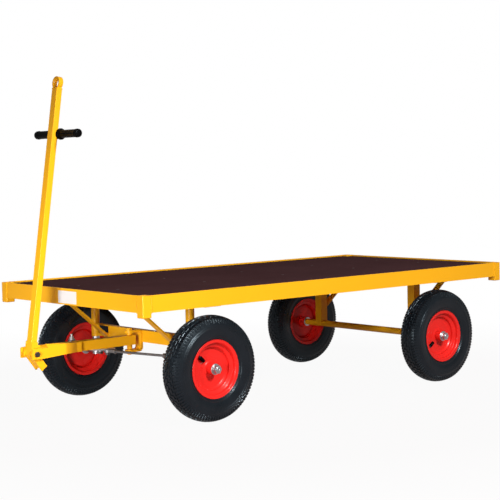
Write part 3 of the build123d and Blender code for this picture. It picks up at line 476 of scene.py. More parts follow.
@dataclass
class Finishes:
    """Every finish on the cart, made once."""

    yellow: bpy.types.Material = field(init=False)
    red: bpy.types.Material = field(init=False)
    deck: bpy.types.Material = field(init=False)
    tyre: bpy.types.Material = field(init=False)
    grip: bpy.types.Material = field(init=False)
    zinc: bpy.types.Material = field(init=False)
    dull: bpy.types.Material = field(init=False)
    painted_shade_zinc: bpy.types.Material = field(init=False)
    film: bpy.types.Material = field(init=False)

    def __post_init__(self) -> None:
        """Makes the materials."""
        yellow = PowderCoat("yellow_powder_coat", (0.95, 0.475, 0.010), (0.91, 0.425, 0.008), 0.30)
        red = PowderCoat("red_rim_enamel", (0.80, 0.022, 0.017), (0.74, 0.018, 0.013), 0.22, 0.1, 0.2)
        deck = FilmFacedPly("film_faced_deck", (0.051, 0.0250, 0.0265), (0.079, 0.0405, 0.043))
        tyre = MouldedRubber("tyre_rubber", (0.0036, 0.0056, 0.0082), (0.0078, 0.0110, 0.0150), 0.27, 0.45)
        grip = MouldedRubber("grip_rubber", (0.0025, 0.0023, 0.0025), (0.004, 0.0038, 0.004), 0.20, 0.04)
        zinc = ZincPlate("zinc_plated_steel", (0.68, 0.67, 0.68), (0.46, 0.46, 0.47), 0.30)
        # The dull zinc is a dark plating, and on the drawbar's bolts it is painted shade. The darker zinc
        # on the tie rods is painted shade for the shadow under the deck.
        dull = ZincPlate("dull_zinc_and_painted_shade", (0.12, 0.10, 0.095), (0.07, 0.06, 0.06), 0.52)
        painted_shade_zinc = ZincPlate("zinc_with_painted_shade", (0.29, 0.28, 0.28), (0.19, 0.18, 0.18), 0.50)
        film = PlainFilm("blank_film", (0.86, 0.86, 0.85), (0.80, 0.80, 0.78))
        self.yellow = yellow.material()
        self.red = red.material()
        self.deck = deck.material()
        self.tyre = tyre.material()
        self.grip = grip.material()
        self.zinc = zinc.material()
        self.dull = dull.material()
        self.painted_shade_zinc = painted_shade_zinc.material()
        self.film = film.material()

    def for_node(self, node: str, slot: str) -> bpy.types.Material:
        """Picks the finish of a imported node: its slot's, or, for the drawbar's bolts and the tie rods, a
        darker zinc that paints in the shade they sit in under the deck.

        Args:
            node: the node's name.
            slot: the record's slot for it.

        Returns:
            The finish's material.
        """
        # Painted shade: the bolts and tie rods take darker zinc so that they look as dark as they do in the
        # deck's shadow.
        painted_shade_finishes = {"drawbar_bolts": self.dull, "left_tie_rod": self.painted_shade_zinc, "right_tie_rod": self.painted_shade_zinc}
        if node in painted_shade_finishes:
            return painted_shade_finishes[node]
        return {
            Slot.YELLOW: self.yellow,
            Slot.RED: self.red,
            Slot.DECK: self.deck,
            Slot.TYRE: self.tyre,
            Slot.GRIP: self.grip,
            Slot.ZINC: self.zinc,
        }[Slot(slot)]


class Draft:
    """A mesh being drawn, turned into an object at the end."""

    def __init__(self) -> None:
        """Starts an empty mesh."""
        self.points: list[Vector] = []
        self.faces: list[tuple[int, ...]] = []
        self.edges: list[tuple[int, int]] = []

    def point(self, place: Sequence[float]) -> int:
        """Adds a point and returns its number."""
        self.points.append(Vector(place))
        return len(self.points) - 1

    def path(self, places: Iterable[Sequence[float]], closed: bool = False) -> None:
        """Adds a line of edges through some places.

        Args:
            places: the places in order.
            closed: whether the last place joins the first.
        """
        numbers = [self.point(place) for place in places]
        self.edges.extend(zip(numbers, numbers[1:]))
        if closed:
            self.edges.append((numbers[-1], numbers[0]))

    def turn(self, profile: Sequence[Flat], segments: int, closed: bool = True) -> None:
        """Turns an outline about the Y axis.

        Args:
            profile: radius and Y pairs, in order along the outline.
            segments: how many steps the full turn has.
            closed: whether the outline's last point joins its first.
        """
        start = len(self.points)
        size = len(profile)
        for step in range(segments):
            angle = 2.0 * math.pi * step / segments
            for radius, across in profile:
                self.point((radius * math.sin(angle), across, radius * math.cos(angle)))
        for step in range(segments):
            here = start + step * size
            there = start + (step + 1) % segments * size
            for index in range(size if closed else size - 1):
                following = (index + 1) % size
                self.faces.append((here + index, here + following, there + following, there + index))

    def build(self, name: str, place: Optional[Matrix] = None, sharp: float = 38.0) -> bpy.types.Object:
        """Makes the object.

        Args:
            name: the object's name.
            place: where the mesh goes in the cart's frame.
            sharp: the angle, in degrees, past which an edge stays sharp.

        Returns:
            The object, linked to the scene, with its place in its mesh.
        """
        mesh = bpy.data.meshes.new(name)
        mesh.from_pydata(self.points, self.edges, self.faces)
        if self.faces:
            work = bmesh.new()
            work.from_mesh(mesh)
            bmesh.ops.remove_doubles(work, verts=work.verts, dist=1e-6)
            bmesh.ops.recalc_face_normals(work, faces=work.faces)
            work.to_mesh(mesh)
            work.free()
            mesh.shade_smooth()
            mesh.set_sharp_from_angle(angle=math.radians(sharp))
        if place is not None:
            mesh.transform(place)
        made = bpy.data.objects.new(name, mesh)
        bpy.context.scene.collection.objects.link(made)
        return made


def rounded(corners: Sequence[Flat], radius: float, steps: int = 3) -> list[Flat]:
    """Rounds the corners of a closed outline.

    Args:
        corners: the outline's corners in order.
        radius: the length cut back on each side of a corner, less where a side is short.
        steps: how many pieces each rounded corner has.

    Returns:
        The outline with its corners rounded.
    """
    result: list[Flat] = []
    count = len(corners)
    for index in range(count):
        here = Vector(corners[index])
        before = Vector(corners[index - 1]) - here
        after = Vector(corners[(index + 1) % count]) - here
        cut = min(radius, before.length * 0.45, after.length * 0.45)
        start = here + before.normalized() * cut
        end = here + after.normalized() * cut
        for step in range(steps + 1):
            share = step / steps
            spot = start.lerp(here, share).lerp(here.lerp(end, share), share)
            result.append((spot.x, spot.y))
    return result


class NodeTool:
    """A Geometry Nodes tree with named inputs, applied to an object and turned into a plain mesh."""

    def __init__(self, name: str, inputs: Sequence[tuple[str, str]]) -> None:
        """Starts the tree with its inputs and one geometry output.

        Args:
            name: the tree's name.
            inputs: each input's label and socket type.
        """
        self.tree = bpy.data.node_groups.new(name, "GeometryNodeTree")
        self.keys: dict[str, str] = {}
        for label, kind in inputs:
            socket = self.tree.interface.new_socket(label, in_out="INPUT", socket_type=kind)
            self.keys[label] = socket.identifier
        self.tree.interface.new_socket("Result", in_out="OUTPUT", socket_type="NodeSocketGeometry")
        self.graph = Graph(self.tree)
        self.entry = self.graph.node("NodeGroupInput")

    def chance(self, low: float, high: float) -> Sock:
        """A random number for each instance, drawn from the tree's seed."""
        inputs = {2: low, 3: high, 8: self.entry.out("Seed")}
        return self.graph.node("FunctionNodeRandomValue", {"data_type": "FLOAT"}, inputs, outlet=1)

    def spin(self, axis: str, angle: Sock) -> Sock:
        """A turn about one axis."""
        angles = self.graph.node("ShaderNodeCombineXYZ", {}, {axis: angle})
        return self.graph.node("FunctionNodeEulerToRotation", {}, {"Euler": angles})

    def close(self, instances: Sock) -> None:
        """Ends the tree: instances become real and take the finish.

        Args:
            instances: the geometry so far.
        """
        real = self.graph.node("GeometryNodeRealizeInstances", {}, {"Geometry": instances})
        inputs = {"Geometry": real, "Material": self.entry.out("Finish")}
        dressed = self.graph.node("GeometryNodeSetMaterial", {}, inputs)
        self.graph.node("NodeGroupOutput", {}, {"Result": dressed})

    def apply(
        self, piece: bpy.types.Object, values: dict[str, Any], place: Optional[Matrix] = None
    ) -> None:
        """Runs the tree on a piece and keeps the result as the piece's mesh.

        Args:
            piece: the object whose mesh goes in.
            values: a value for each named input.
            place: where the result goes in the cart's frame.
        """
        modifier = piece.modifiers.new("tool", "NODES")
        modifier.node_group = self.tree
        for label, value in values.items():
            modifier[self.keys[label]] = value
        bpy.context.view_layer.update()
        graph = bpy.context.evaluated_depsgraph_get()
        mesh = bpy.data.meshes.new_from_object(piece.evaluated_get(graph), depsgraph=graph)
        piece.modifiers.remove(modifier)
        piece.data = mesh
        if place is not None:
            mesh.transform(place)


class RingTool(NodeTool):
    """Repeats a unit round the Y axis."""

    def __init__(self) -> None:
        """Builds the tree."""
        super().__init__(
            "ring_of_units",
            [("Unit", "NodeSocketGeometry"), ("Count", "NodeSocketInt"), ("Finish", "NodeSocketMaterial")],
        )
        count = self.entry.out("Count")
        points = self.graph.node("GeometryNodePoints", {}, {"Count": count})
        turn = self.graph.node("GeometryNodeInputIndex") * (2.0 * math.pi) / count
        rotation = self.spin("Y", turn)
        inputs = {"Points": points, "Instance": self.entry.out("Unit"), "Rotation": rotation}
        self.close(self.graph.node("GeometryNodeInstanceOnPoints", {}, inputs))


class SeamTool(NodeTool):
    """Lays a scalloped weld bead along the edges of a path."""

    def __init__(self) -> None:
        """Builds the tree."""
        super().__init__(
            "weld_bead",
            [
                ("Path", "NodeSocketGeometry"),
                ("Bead radius", "NodeSocketFloat"),
                ("Pitch", "NodeSocketFloat"),
                ("Seed", "NodeSocketInt"),
                ("Finish", "NodeSocketMaterial"),
            ],
        )
        line = self.graph.node("GeometryNodeMeshToCurve", {}, {"Mesh": self.entry.out("Path")})
        inputs = {"Curve": line, "Length": self.entry.out("Pitch")}
        beads = self.graph.node("GeometryNodeCurveToPoints", {"mode": "LENGTH"}, inputs)
        ball = {"Segments": 8, "Rings": 5, "Radius": self.entry.out("Bead radius")}
        drop = self.graph.node("GeometryNodeMeshUVSphere", {}, ball)
        soft = self.graph.node("GeometryNodeSetShadeSmooth", {}, {"Geometry": drop})
        size = self.chance(0.86, 1.08)
        inputs = {"Points": beads, "Instance": soft, "Rotation": beads.out("Rotation"), "Scale": size}
        self.close(self.graph.node("GeometryNodeInstanceOnPoints", {}, inputs))


class SpotTool(NodeTool):
    """Puts a copy of one fastener at every point of a mesh."""

    def __init__(self) -> None:
        """Builds the tree."""
        super().__init__(
            "fasteners_on_points",
            [
                ("Places", "NodeSocketGeometry"),
                ("Fastener", "NodeSocketObject"),
                ("Seed", "NodeSocketInt"),
                ("Finish", "NodeSocketMaterial"),
            ],
        )
        points = self.graph.node("GeometryNodeMeshToPoints", {}, {"Mesh": self.entry.out("Places")})
        info = self.graph.node("GeometryNodeObjectInfo", {}, {"Object": self.entry.out("Fastener")})
        rotation = self.spin("Z", self.chance(0.0, math.pi))
        inputs = {"Points": points, "Instance": info.out("Geometry"), "Rotation": rotation}
        self.close(self.graph.node("GeometryNodeInstanceOnPoints", {}, inputs))


@dataclass
class Tools:
    """The Geometry Nodes trees, made once."""

    ring: RingTool = field(default_factory=RingTool)
    seam: SeamTool = field(default_factory=SeamTool)
    spot: SpotTool = field(default_factory=SpotTool)


def settle(piece: bpy.types.Object, finish: bpy.types.Material, slot: Slot, body: str, *nodes: str) -> None:
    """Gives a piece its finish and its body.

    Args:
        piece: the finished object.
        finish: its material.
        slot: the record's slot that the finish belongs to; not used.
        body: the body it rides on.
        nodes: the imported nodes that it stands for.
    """
    piece.data.materials.clear()
    piece.data.materials.append(finish)
    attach(piece, body)
    if nodes:
        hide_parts(*nodes)
    LOG.info("%s rides on %s, %d faces", piece.name, body, len(piece.data.polygons))


def circle_through(first: Flat, second: Flat, third: Flat) -> tuple[Vector, float]:
    """The circle through three points.

    Args:
        first: one point.
        second: another point.
        third: the last point.

    Returns:
        The circle's centre and radius.
    """
    (ax, ay), (bx, by), (cx, cy) = first, second, third
    twice = 2.0 * (ax * (by - cy) + bx * (cy - ay) + cx * (ay - by))
    a2, b2, c2 = ax * ax + ay * ay, bx * bx + by * by, cx * cx + cy * cy
    x = (a2 * (by - cy) + b2 * (cy - ay) + c2 * (ay - by)) / twice
    y = (a2 * (cx - bx) + b2 * (ax - cx) + c2 * (bx - ax)) / twice
    return Vector((x, y)), math.hypot(ax - x, ay - y)


@dataclass
class PneumaticTyre:
    """A pneumatic tyre: a ringed carcass with rows of blocks and shoulder lugs on it.

    Each of the sidewall's rings is a middle radius, a half width and a rise. The cavity is the inner
    wall's outline, as radius and half width. A block is its two edges, and a lug its place and its
    end; both go by shares of the pitch round the tread and reaches along the section.
    """

    radius: float = 0.206
    half_width: float = 0.046
    tread_half: float = 0.038
    shoulder_drop: float = 0.009
    neck_radius: float = 0.114
    neck_half: float = 0.0362
    bead_radius: float = 0.1014
    bead_inner: float = 0.0243
    groove: float = 0.0035
    groove_end: float = 0.168
    chamfer: float = 0.0011
    flare: float = 0.0008
    root: float = 0.0006
    pitches: int = 48
    segments: int = 144
    crown_steps: int = 10
    wall_steps: int = 90
    rings: tuple[Point, ...] = (
        (0.1690, 0.0012, 0.0010),
        (0.1650, 0.0008, 0.0006),
        (0.1620, 0.0008, 0.0006),
        (0.1590, 0.0008, 0.0006),
        (0.1265, 0.0014, 0.0012),
        (0.1225, 0.0010, 0.0008),
        (0.1185, 0.0010, 0.0008),
    )
    cavity: tuple[Flat, ...] = (
        (0.132, 0.0350),
        (0.152, 0.0390),
        (0.174, 0.0370),
        (0.188, 0.0300),
        (0.1945, 0.0150),
    )
    blocks: tuple[tuple[tuple[Flat, ...], tuple[Flat, ...]], ...] = (
        (
            ((0.05, 0.0006), (0.19, 0.0062), (0.07, 0.0128)),
            ((0.74, 0.0040), (0.90, 0.0085), (0.78, 0.0146)),
        ),
        (
            ((0.55, 0.0160), (0.66, 0.0202), (0.54, 0.0248)),
            ((1.24, 0.0176), (1.36, 0.0214), (1.25, 0.0254)),
        ),
    )
    lugs: tuple[Flat, ...] = ((0.06, 0.0610), (0.56, 0.0560))
    lug_near: tuple[float, ...] = (0.0, -0.05, -0.06, -0.04)
    lug_far: tuple[float, ...] = (0.40, 0.35, 0.32, 0.28)
    lug_start: float = 0.0282
    lug_bend: float = 0.0480

    def __post_init__(self) -> None:
        """Works out the two arcs of the tyre's section, as width and radius."""
        shoulder_radius = self.radius - self.shoulder_drop
        belly = (self.neck_radius + shoulder_radius) / 2
        shoulder = (self.tread_half, shoulder_radius)
        self.crown_centre, self.crown_arc = circle_through(
            (-self.tread_half, shoulder_radius), (0.0, self.radius), shoulder
        )
        self.wall_centre, self.wall_arc = circle_through(
            shoulder, (self.half_width, belly), (self.neck_half, self.neck_radius)
        )
        self.crown_half = self.crown_arc * math.asin(self.tread_half / self.crown_arc)
        self.wall_start = math.atan2(
            shoulder_radius - self.wall_centre.y, self.tread_half - self.wall_centre.x
        )
        self.wall_end = math.atan2(
            self.neck_radius - self.wall_centre.y, self.neck_half - self.wall_centre.x
        )

    def spot(self, reach: float) -> tuple[Vector, Vector]:
        """A point of the section and its outward direction.

        Args:
            reach: the distance along the section from the middle of the tread, negative to the right.

        Returns:
            The point and the direction, each as width and radius.
        """
        side = 1.0 if reach >= 0 else -1.0
        run = abs(reach)
        if run <= self.crown_half:
            angle = math.pi / 2 - run / self.crown_arc
            outward = Vector((math.cos(angle), math.sin(angle)))
            place = self.crown_centre + outward * self.crown_arc
        else:
            angle = self.wall_start - (run - self.crown_half) / self.wall_arc
            outward = Vector((math.cos(angle), math.sin(angle)))
            place = self.wall_centre + outward * self.wall_arc
        return Vector((place.x * side, place.y)), Vector((outward.x * side, outward.y))

    def _rib(self, radius: float) -> float:
        """How far the sidewall's moulded rings stand out at a radius.

        Args:
            radius: the radius to look at.

        Returns:
            The height over the plain sidewall.
        """
        height = 0.0
        for middle, half, rise in self.rings:
            off = abs(radius - middle) / half
            if off < 1.0:
                height = max(height, rise * (1.0 - off * off))
        return height

    def _section(self) -> list[Flat]:
        """Draws the carcass, left half first.

        Returns:
            A closed outline of radius and width.
        """
        wall_run = (self.wall_start - self.wall_end) * self.wall_arc
        reaches = [self.crown_half * step / self.crown_steps for step in range(self.crown_steps)]
        for step in range(self.wall_steps + 1):
            reaches.append(self.crown_half + wall_run * step / self.wall_steps)
        outer: list[Flat] = []
        for reach in reaches:
            place, outward = self.spot(reach)
            fade = (place.y - self.groove_end) / (self.radius - self.shoulder_drop - self.groove_end)
            depth = self.groove * min(1.0, max(0.0, fade))
            lift = self._rib(place.y) - depth
            spot = place + outward * lift
            outer.append((spot.y, spot.x))
        inner = [
            (self.bead_radius, self.neck_half),
            (self.bead_radius, self.bead_inner),
            (self.neck_radius, self.bead_inner),
            *self.cavity,
        ]
        half = outer + inner
        other = [(radius, -width) for radius, width in reversed(half) if width > 1e-6]
        return half + other

    def _pad(self, draft: Draft, left: Sequence[Flat], right: Sequence[Flat]) -> None:
        """Adds one raised pad of the tread, with chamfered edges and a closed underside.

        Args:
            draft: the mesh to add to.
            left: one edge, as pitch shares and reaches along the section, from the tread's middle outward.
            right: the other edge, with as many points.
        """
        step = 2.0 * math.pi / self.pitches
        length = step * self.radius
        side = 1.0 if left[-1][1] > left[0][1] else -1.0
        last = len(left) - 1

        def corner(share: float, reach: float, sink: float) -> int:
            """Adds a corner of the pad.

            Args:
                share: its place round the tread, in pitches.
                reach: its place along the section.
                sink: its depth under the tread's surface.

            Returns:
                The point's number.
            """
            place, outward = self.spot(reach)
            spot = place - outward * sink
            angle = share * step
            return draft.point((spot.y * math.sin(angle), spot.x, spot.y * math.cos(angle)))

        rims: list[list[int]] = []
        levels = ((self.chamfer, 0.0), (0.0, self.chamfer), (-self.flare, self.groove + self.root))
        for inset, sink in levels:
            first: list[int] = []
            second: list[int] = []
            for index in range(last + 1):
                pull = inset * side * {0: 1.0, last: -1.0}.get(index, 0.0)
                first.append(corner(left[index][0] + inset / length, left[index][1] + pull, sink))
                second.append(corner(right[index][0] - inset / length, right[index][1] + pull, sink))
            rims.append(first + second[::-1])
        count = 2 * last + 2
        for upper, lower in zip(rims, rims[1:]):
            for index in range(count):
                after = (index + 1) % count
                draft.faces.append((upper[index], upper[after], lower[after], lower[index]))
        for rim in (rims[0], rims[-1]):
            for index in range(last):
                draft.faces.append((rim[index], rim[index + 1], rim[-index - 2], rim[-index - 1]))

    def _unit(self) -> Draft:
        """Draws one pitch of the tread: two rows of blocks and two lugs on each side.

        Returns:
            The mesh that the ring repeats.
        """
        pads: list[Sequence[Sequence[Flat]]] = list(self.blocks)
        for place, end in self.lugs:
            reaches = (self.lug_start, self.crown_half, self.lug_bend, end)
            edges = [[place + share for share in shares] for shares in (self.lug_near, self.lug_far)]
            pads.append([list(zip(edge, reaches)) for edge in edges])
        draft = Draft()
        for side, lag in ((1.0, 0.0), (-1.0, 0.5)):
            for pad in pads:
                left, right = ([(share + lag, reach * side) for share, reach in edge] for edge in pad)
                self._pad(draft, left, right)
        return draft

    def dress(self, corner: Corner, centre: Vector, finishes: Finishes, tools: Tools) -> None:
        """Builds one wheel's carcass and tread.

        Args:
            corner: which wheel it is.
            centre: the wheel's middle.
            finishes: the cart's finishes.
            tools: the Geometry Nodes trees.
        """
        place = Matrix.Translation(centre)
        carcass = Draft()
        carcass.turn(self._section(), self.segments)
        body = carcass.build(corner.label + "_carcass", place, 50.0)
        settle(body, finishes.tyre, Slot.TYRE, corner.body, corner.label + "_tyre")
        tread = self._unit().build(corner.label + "_tread", None, 30.0)
        tools.ring.apply(tread, {"Count": self.pitches, "Finish": finishes.tyre}, place)
        settle(tread, finishes.tyre, Slot.TYRE, corner.body)


@dataclass
class PressedRim:
    """A pressed steel rim with rolled lips, a drop centre and a flat disc."""

    seat: float = 0.101
    well: float = 0.086
    lip: float = 0.114
    half: float = 0.039
    wall: float = 0.0025
    step_in: float = 0.016
    step_out: float = 0.022
    hub: float = 0.0215
    disc_wall: float = 0.003
    segments: int = 112

    def _barrel(self) -> list[Flat]:
        """Draws the barrel with its lips rolled over.

        Returns:
            The barrel's closed outline.
        """
        side = [
            (self.well, self.step_in),
            (self.seat, self.step_out),
            (self.seat, self.half - self.wall),
            (self.lip - 0.0012, self.half - self.wall),
            (self.lip, self.half - self.wall * 0.7),
            (self.lip, self.half - 0.0004),
            (self.lip - 0.0014, self.half + 0.0002),
            (self.lip - 0.0030, self.half - 0.0009),
            (self.lip - 0.0048, self.half - 0.0013),
            (self.lip - 0.0085, self.half - 0.0010),
            (self.seat - self.wall + 0.003, self.half - 0.0020),
            (self.seat - self.wall, self.half - 0.0065),
            (self.seat - self.wall, self.step_out + self.wall / 2),
            (self.well - self.wall, self.step_in + self.wall / 2),
        ]
        outline = side + [(radius, -width) for radius, width in reversed(side)]
        return rounded(outline, 0.0030, 4)

    def _disc(self) -> list[Flat]:
        """Draws the disc, swept into the barrel at its edge and raised round the hub.

        Returns:
            The disc's closed outline.
        """
        half = self.disc_wall / 2
        edge = self.well - self.wall * 0.6
        face = [
            (self.hub, 0.0042),
            (self.hub + 0.004, 0.0042),
            (self.hub + 0.011, 0.0004),
            (0.060, 0.0),
            (0.076, 0.0),
            (edge, 0.0075),
        ]
        front = [(radius, lift + half) for radius, lift in face]
        back = [(radius, lift - half) for radius, lift in reversed(face)]
        return rounded(front + back, 0.0045, 4)

    def dress(self, corner: Corner, centre: Vector, finishes: Finishes) -> None:
        """Builds one wheel's rim.

        Args:
            corner: which wheel it is.
            centre: the wheel's middle.
            finishes: the cart's finishes.
        """
        draft = Draft()
        draft.turn(self._barrel(), self.segments)
        disc = self._disc()
        draft.turn([(radius, across * corner.side) for radius, across in disc], self.segments)
        rim = draft.build(corner.label + "_pressed_rim", Matrix.Translation(centre), 40.0)
        settle(rim, finishes.red, Slot.RED, corner.body, corner.label + "_rim")


@dataclass
class Hub:
    """A painted hub sleeve with a plated dust cap and bearing at each end, and the plated axle end."""

    radius: float = 0.0215
    inside: float = 0.0175
    half: float = 0.0380
    bore: float = 0.01005
    bearing_width: float = 0.0120
    cap_width: float = 0.0032
    seal_sink: float = 0.0008
    race: float = 0.0022
    spindle: float = 0.0102
    end_length: float = 0.0032
    segments: int = 56

    def _sleeve(self) -> list[Flat]:
        """Draws the sleeve between the two dust caps.

        Returns:
            The sleeve's closed outline.
        """
        reach = self.half - self.cap_width
        corners = [(self.radius, reach), (self.radius, -reach), (self.inside, -reach), (self.inside, reach)]
        return rounded(corners, 0.0008, 2)

    def _bearing(self) -> list[Flat]:
        """Draws one bearing: a flanged cap, and a seal sunk between the races.

        Returns:
            The bearing's closed outline.
        """
        race = self.race
        face = self.half - 0.0002
        lip = self.radius + 0.0002
        return [
            (lip - 0.0010, face),
            (self.inside - race, face),
            (self.inside - race, face - self.seal_sink),
            (self.bore + race, face - self.seal_sink),
            (self.bore + race, face),
            (self.bore, face),
            (self.bore, self.half - self.bearing_width),
            (self.inside - 0.0001, self.half - self.bearing_width),
            (self.inside - 0.0001, self.half - self.cap_width),
            (lip, self.half - self.cap_width),
            (lip, face - 0.0010),
        ]

    def _end(self) -> list[Flat]:
        """Draws the axle end with a centre-drilled face.

        Returns:
            The end's closed outline, measured back from its face.
        """
        return [
            (0.0002, 0.0003),
            (0.0026, 0.0006),
            (0.0036, 0.0020),
            (self.spindle - 0.0014, 0.0020),
            (self.spindle, 0.0008),
            (self.spindle, -self.end_length),
            (0.0002, -self.end_length),
        ]

    def dress(self, corner: Corner, centre: Vector, finishes: Finishes) -> None:
        """Builds one wheel's hub.

        Args:
            corner: which wheel it is.
            centre: the wheel's middle.
            finishes: the cart's finishes.
        """
        place = Matrix.Translation(centre)
        sleeve = Draft()
        sleeve.turn(self._sleeve(), self.segments)
        painted = sleeve.build(corner.label + "_hub_sleeve", place, 40.0)
        settle(painted, finishes.red, Slot.RED, corner.body)
        races = Draft()
        for side in (1.0, -1.0):
            races.turn([(radius, across * side) for radius, across in self._bearing()], self.segments)
        plated = races.build(corner.label + "_bearings", place, 40.0)
        settle(plated, finishes.zinc, Slot.ZINC, corner.body, corner.label + "_hub")
        low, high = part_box(corner.axle)
        tip = high.y if corner.side > 0 else low.y
        end = Draft()
        end.turn([(radius, across * corner.side) for radius, across in self._end()], self.segments)
        spot = Matrix.Translation(Vector((centre.x, tip, centre.z)))
        bare = end.build(corner.label + "_axle_end", spot, 40.0)
        settle(bare, finishes.zinc, Slot.ZINC, corner.axle_body)


@dataclass
class ValveCap:
    """The ribbed cap on a valve stem's inner end."""

    tip: float = 0.0500
    length: float = 0.0200
    radius: float = 0.0072
    offset: float = 0.0100
    ribs: int = 12

    def _profile(self) -> list[Flat]:
        """Draws the cap along its own axis.

        Returns:
            The cap's outline, closed on the axis at both ends.
        """
        return [
            (0.0002, -0.0040),
            (self.radius * 0.72, -0.0040),
            (self.radius * 0.96, -0.0024),
            (self.radius, 0.0),
            (self.radius, self.length * 0.7),
            (self.radius * 0.9, self.length * 0.78),
            (self.radius * 1.08, self.length * 0.82),
            (self.radius * 1.08, self.length),
            (0.0002, self.length),
        ]

    def dress(self, corner: Corner, centre: Vector, finishes: Finishes) -> None:
        """Puts a cap on one wheel's valve.

        Args:
            corner: which wheel it is.
            centre: the wheel's middle.
            finishes: the cart's finishes.
        """
        draft = Draft()
        draft.turn(self._profile(), self.ribs * 2)
        for index, spot in enumerate(draft.points):
            rib = index // len(self._profile()) % 2
            if rib and 0.0 <= spot.y <= self.length * 0.7:
                draft.points[index] = Vector((spot.x * 0.92, spot.y, spot.z * 0.92))
        angle = corner.valve_angle * corner.side
        outward = Vector((math.sin(angle), 0.0, math.cos(angle)))
        spin = Vector((0.0, 1.0, 0.0)).rotation_difference(outward).to_matrix().to_4x4()
        spot = centre + outward * self.tip + Vector((0.0, self.offset * corner.side, 0.0))
        cap = draft.build(corner.label + "_valve_cap", Matrix.Translation(spot) @ spin, 40.0)
        settle(cap, finishes.grip, Slot.TYRE, corner.body)


@dataclass
class Wheels:
    """The four wheels, dressed alike."""

    tyre: PneumaticTyre = field(default_factory=PneumaticTyre)
    rim: PressedRim = field(default_factory=PressedRim)
    hub: Hub = field(default_factory=Hub)
    cap: ValveCap = field(default_factory=ValveCap)

    def dress(self, finishes: Finishes, tools: Tools) -> None:
        """Builds every wheel round its hub.

        Args:
            finishes: the cart's finishes.
            tools: the Geometry Nodes trees.
        """
        for corner in Corner:
            low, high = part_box(corner.label + "_hub")
            centre = (low + high) / 2
            self.tyre.dress(corner, centre, finishes, tools)
            self.rim.dress(corner, centre, finishes)
            self.hub.dress(corner, centre, finishes)
            self.cap.dress(corner, centre, finishes)


@dataclass
class HandGrips:
    """The black grips: a wide collar, a fluted barrel and a thicker end."""

    barrel: float = 0.0155
    bulb: float = 0.0168
    bulb_length: float = 0.0200
    collar: float = 0.0222
    collar_width: float = 0.0080
    bore: float = 0.0101
    flutes: int = 14
    flute_depth: float = 0.0012
    steps_per_flute: int = 6

    def _profile(self, inner: float, outer: float) -> list[tuple[float, float, float]]:
        """The grip's closed outline.

        Args:
            inner: the reach of the collar's end.
            outer: the reach of the tip.

        Returns:
            Radius, reach and the share of the flutes' depth for each point.
        """
        neck = inner + self.collar_width
        waist = outer - self.bulb_length
        return [
            (self.bore, inner, 0.0),
            (self.collar - 0.0020, inner, 0.0),
            (self.collar, inner + 0.0015, 0.0),
            (self.collar, neck - 0.0025, 0.0),
            (self.collar - 0.0018, neck, 0.0),
            (self.barrel + 0.0022, neck + 0.0035, 0.0),
            (self.barrel, neck + 0.0080, 0.2),
            (self.barrel, neck + 0.0120, 1.0),
            (self.barrel, waist - 0.0050, 1.0),
            (self.barrel, waist - 0.0020, 0.3),
            (self.bulb, waist + 0.0010, 0.5),
            (self.bulb, waist + 0.0040, 1.0),
            (self.bulb, outer - 0.0060, 1.0),
            (self.bulb * 0.96, outer - 0.0025, 0.8),
            (self.bulb * 0.82, outer - 0.0006, 0.3),
            (self.bulb * 0.40, outer, 0.0),
            (0.0004, outer, 0.0),
            (0.0004, outer - 0.0035, 0.0),
            (self.bore, outer - 0.0035, 0.0),
        ]

    def _draft(self, profile: Sequence[tuple[float, float, float]], side: int) -> Draft:
        """Turns a grip and sinks its flutes in.

        Args:
            profile: radius, reach and the share of the flutes' depth for each point.
            side: 1 on the cart's left, -1 on its right.

        Returns:
            The grip's mesh.
        """
        segments = self.flutes * self.steps_per_flute
        draft = Draft()
        draft.turn([(radius, reach * side) for radius, reach, _ in profile], segments)
        for index, spot in enumerate(draft.points):
            step, ring = divmod(index, len(profile))
            radius, _, share = profile[ring]
            wave = 0.5 - 0.5 * math.cos(2.0 * math.pi * step / self.steps_per_flute)
            scale = 1.0 - self.flute_depth * share * wave / radius
            draft.points[index] = Vector((spot.x * scale, spot.y, spot.z * scale))
        return draft

    def dress(self, finishes: Finishes) -> None:
        """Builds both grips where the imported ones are.

        Args:
            finishes: the cart's finishes.
        """
        for label, side in (("left", 1), ("right", -1)):
            low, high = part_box(label + "_grip")
            inner = min(abs(low.y), abs(high.y))
            outer = max(abs(low.y), abs(high.y))
            place = Matrix.Translation(Vector(((low.x + high.x) / 2, 0.0, (low.z + high.z) / 2)))
            draft = self._draft(self._profile(inner, outer), side)
            grip = draft.build(label + "_fluted_grip", place, 45.0)
            settle(grip, finishes.grip, Slot.GRIP, "handle", label + "_grip")


@dataclass
class HandleNut:
    """The dark nut on the handle's bolt, with its corners turned off."""

    flats: float = 0.0190
    bore: float = 0.0061
    chamfer: float = math.radians(30.0)
    face_share: float = 0.96
    lead_in: float = 0.0012
    segments: int = 48

    def dress(self, finishes: Finishes) -> None:
        """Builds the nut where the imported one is.

        Args:
            finishes: the cart's finishes.
        """
        low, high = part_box("handle_nut")
        middle = (low + high) / 2
        height = high.y - low.y
        face = self.flats / 2 * self.face_share
        draft = Draft()
        rings: list[list[int]] = []
        for step in range(self.segments):
            angle = 2.0 * math.pi * step / self.segments
            corner = self.flats / 2 / math.cos((angle + math.pi / 6) % (math.pi / 3) - math.pi / 6)
            drop = (corner - face) * math.tan(self.chamfer)
            outline = [
                (self.bore, 0.0),
                (corner, 0.0),
                (corner, height - drop),
                (face, height),
                (self.bore + self.lead_in, height),
                (self.bore, height - self.lead_in),
            ]
            ring: list[int] = []
            for radius, across in outline:
                ring.append(draft.point((radius * math.sin(angle), across, radius * math.cos(angle))))
            rings.append(ring)
        for here, there in zip(rings, rings[1:] + rings[:1]):
            for index in range(len(here)):
                after = (index + 1) % len(here)
                draft.faces.append((here[index], here[after], there[after], there[index]))
        place = Matrix.Translation(Vector((middle.x, low.y, middle.z)))
        nut = draft.build("handle_lock_nut", place, 25.0)
        settle(nut, finishes.dull, Slot.ZINC, "drawbar", "handle_nut")


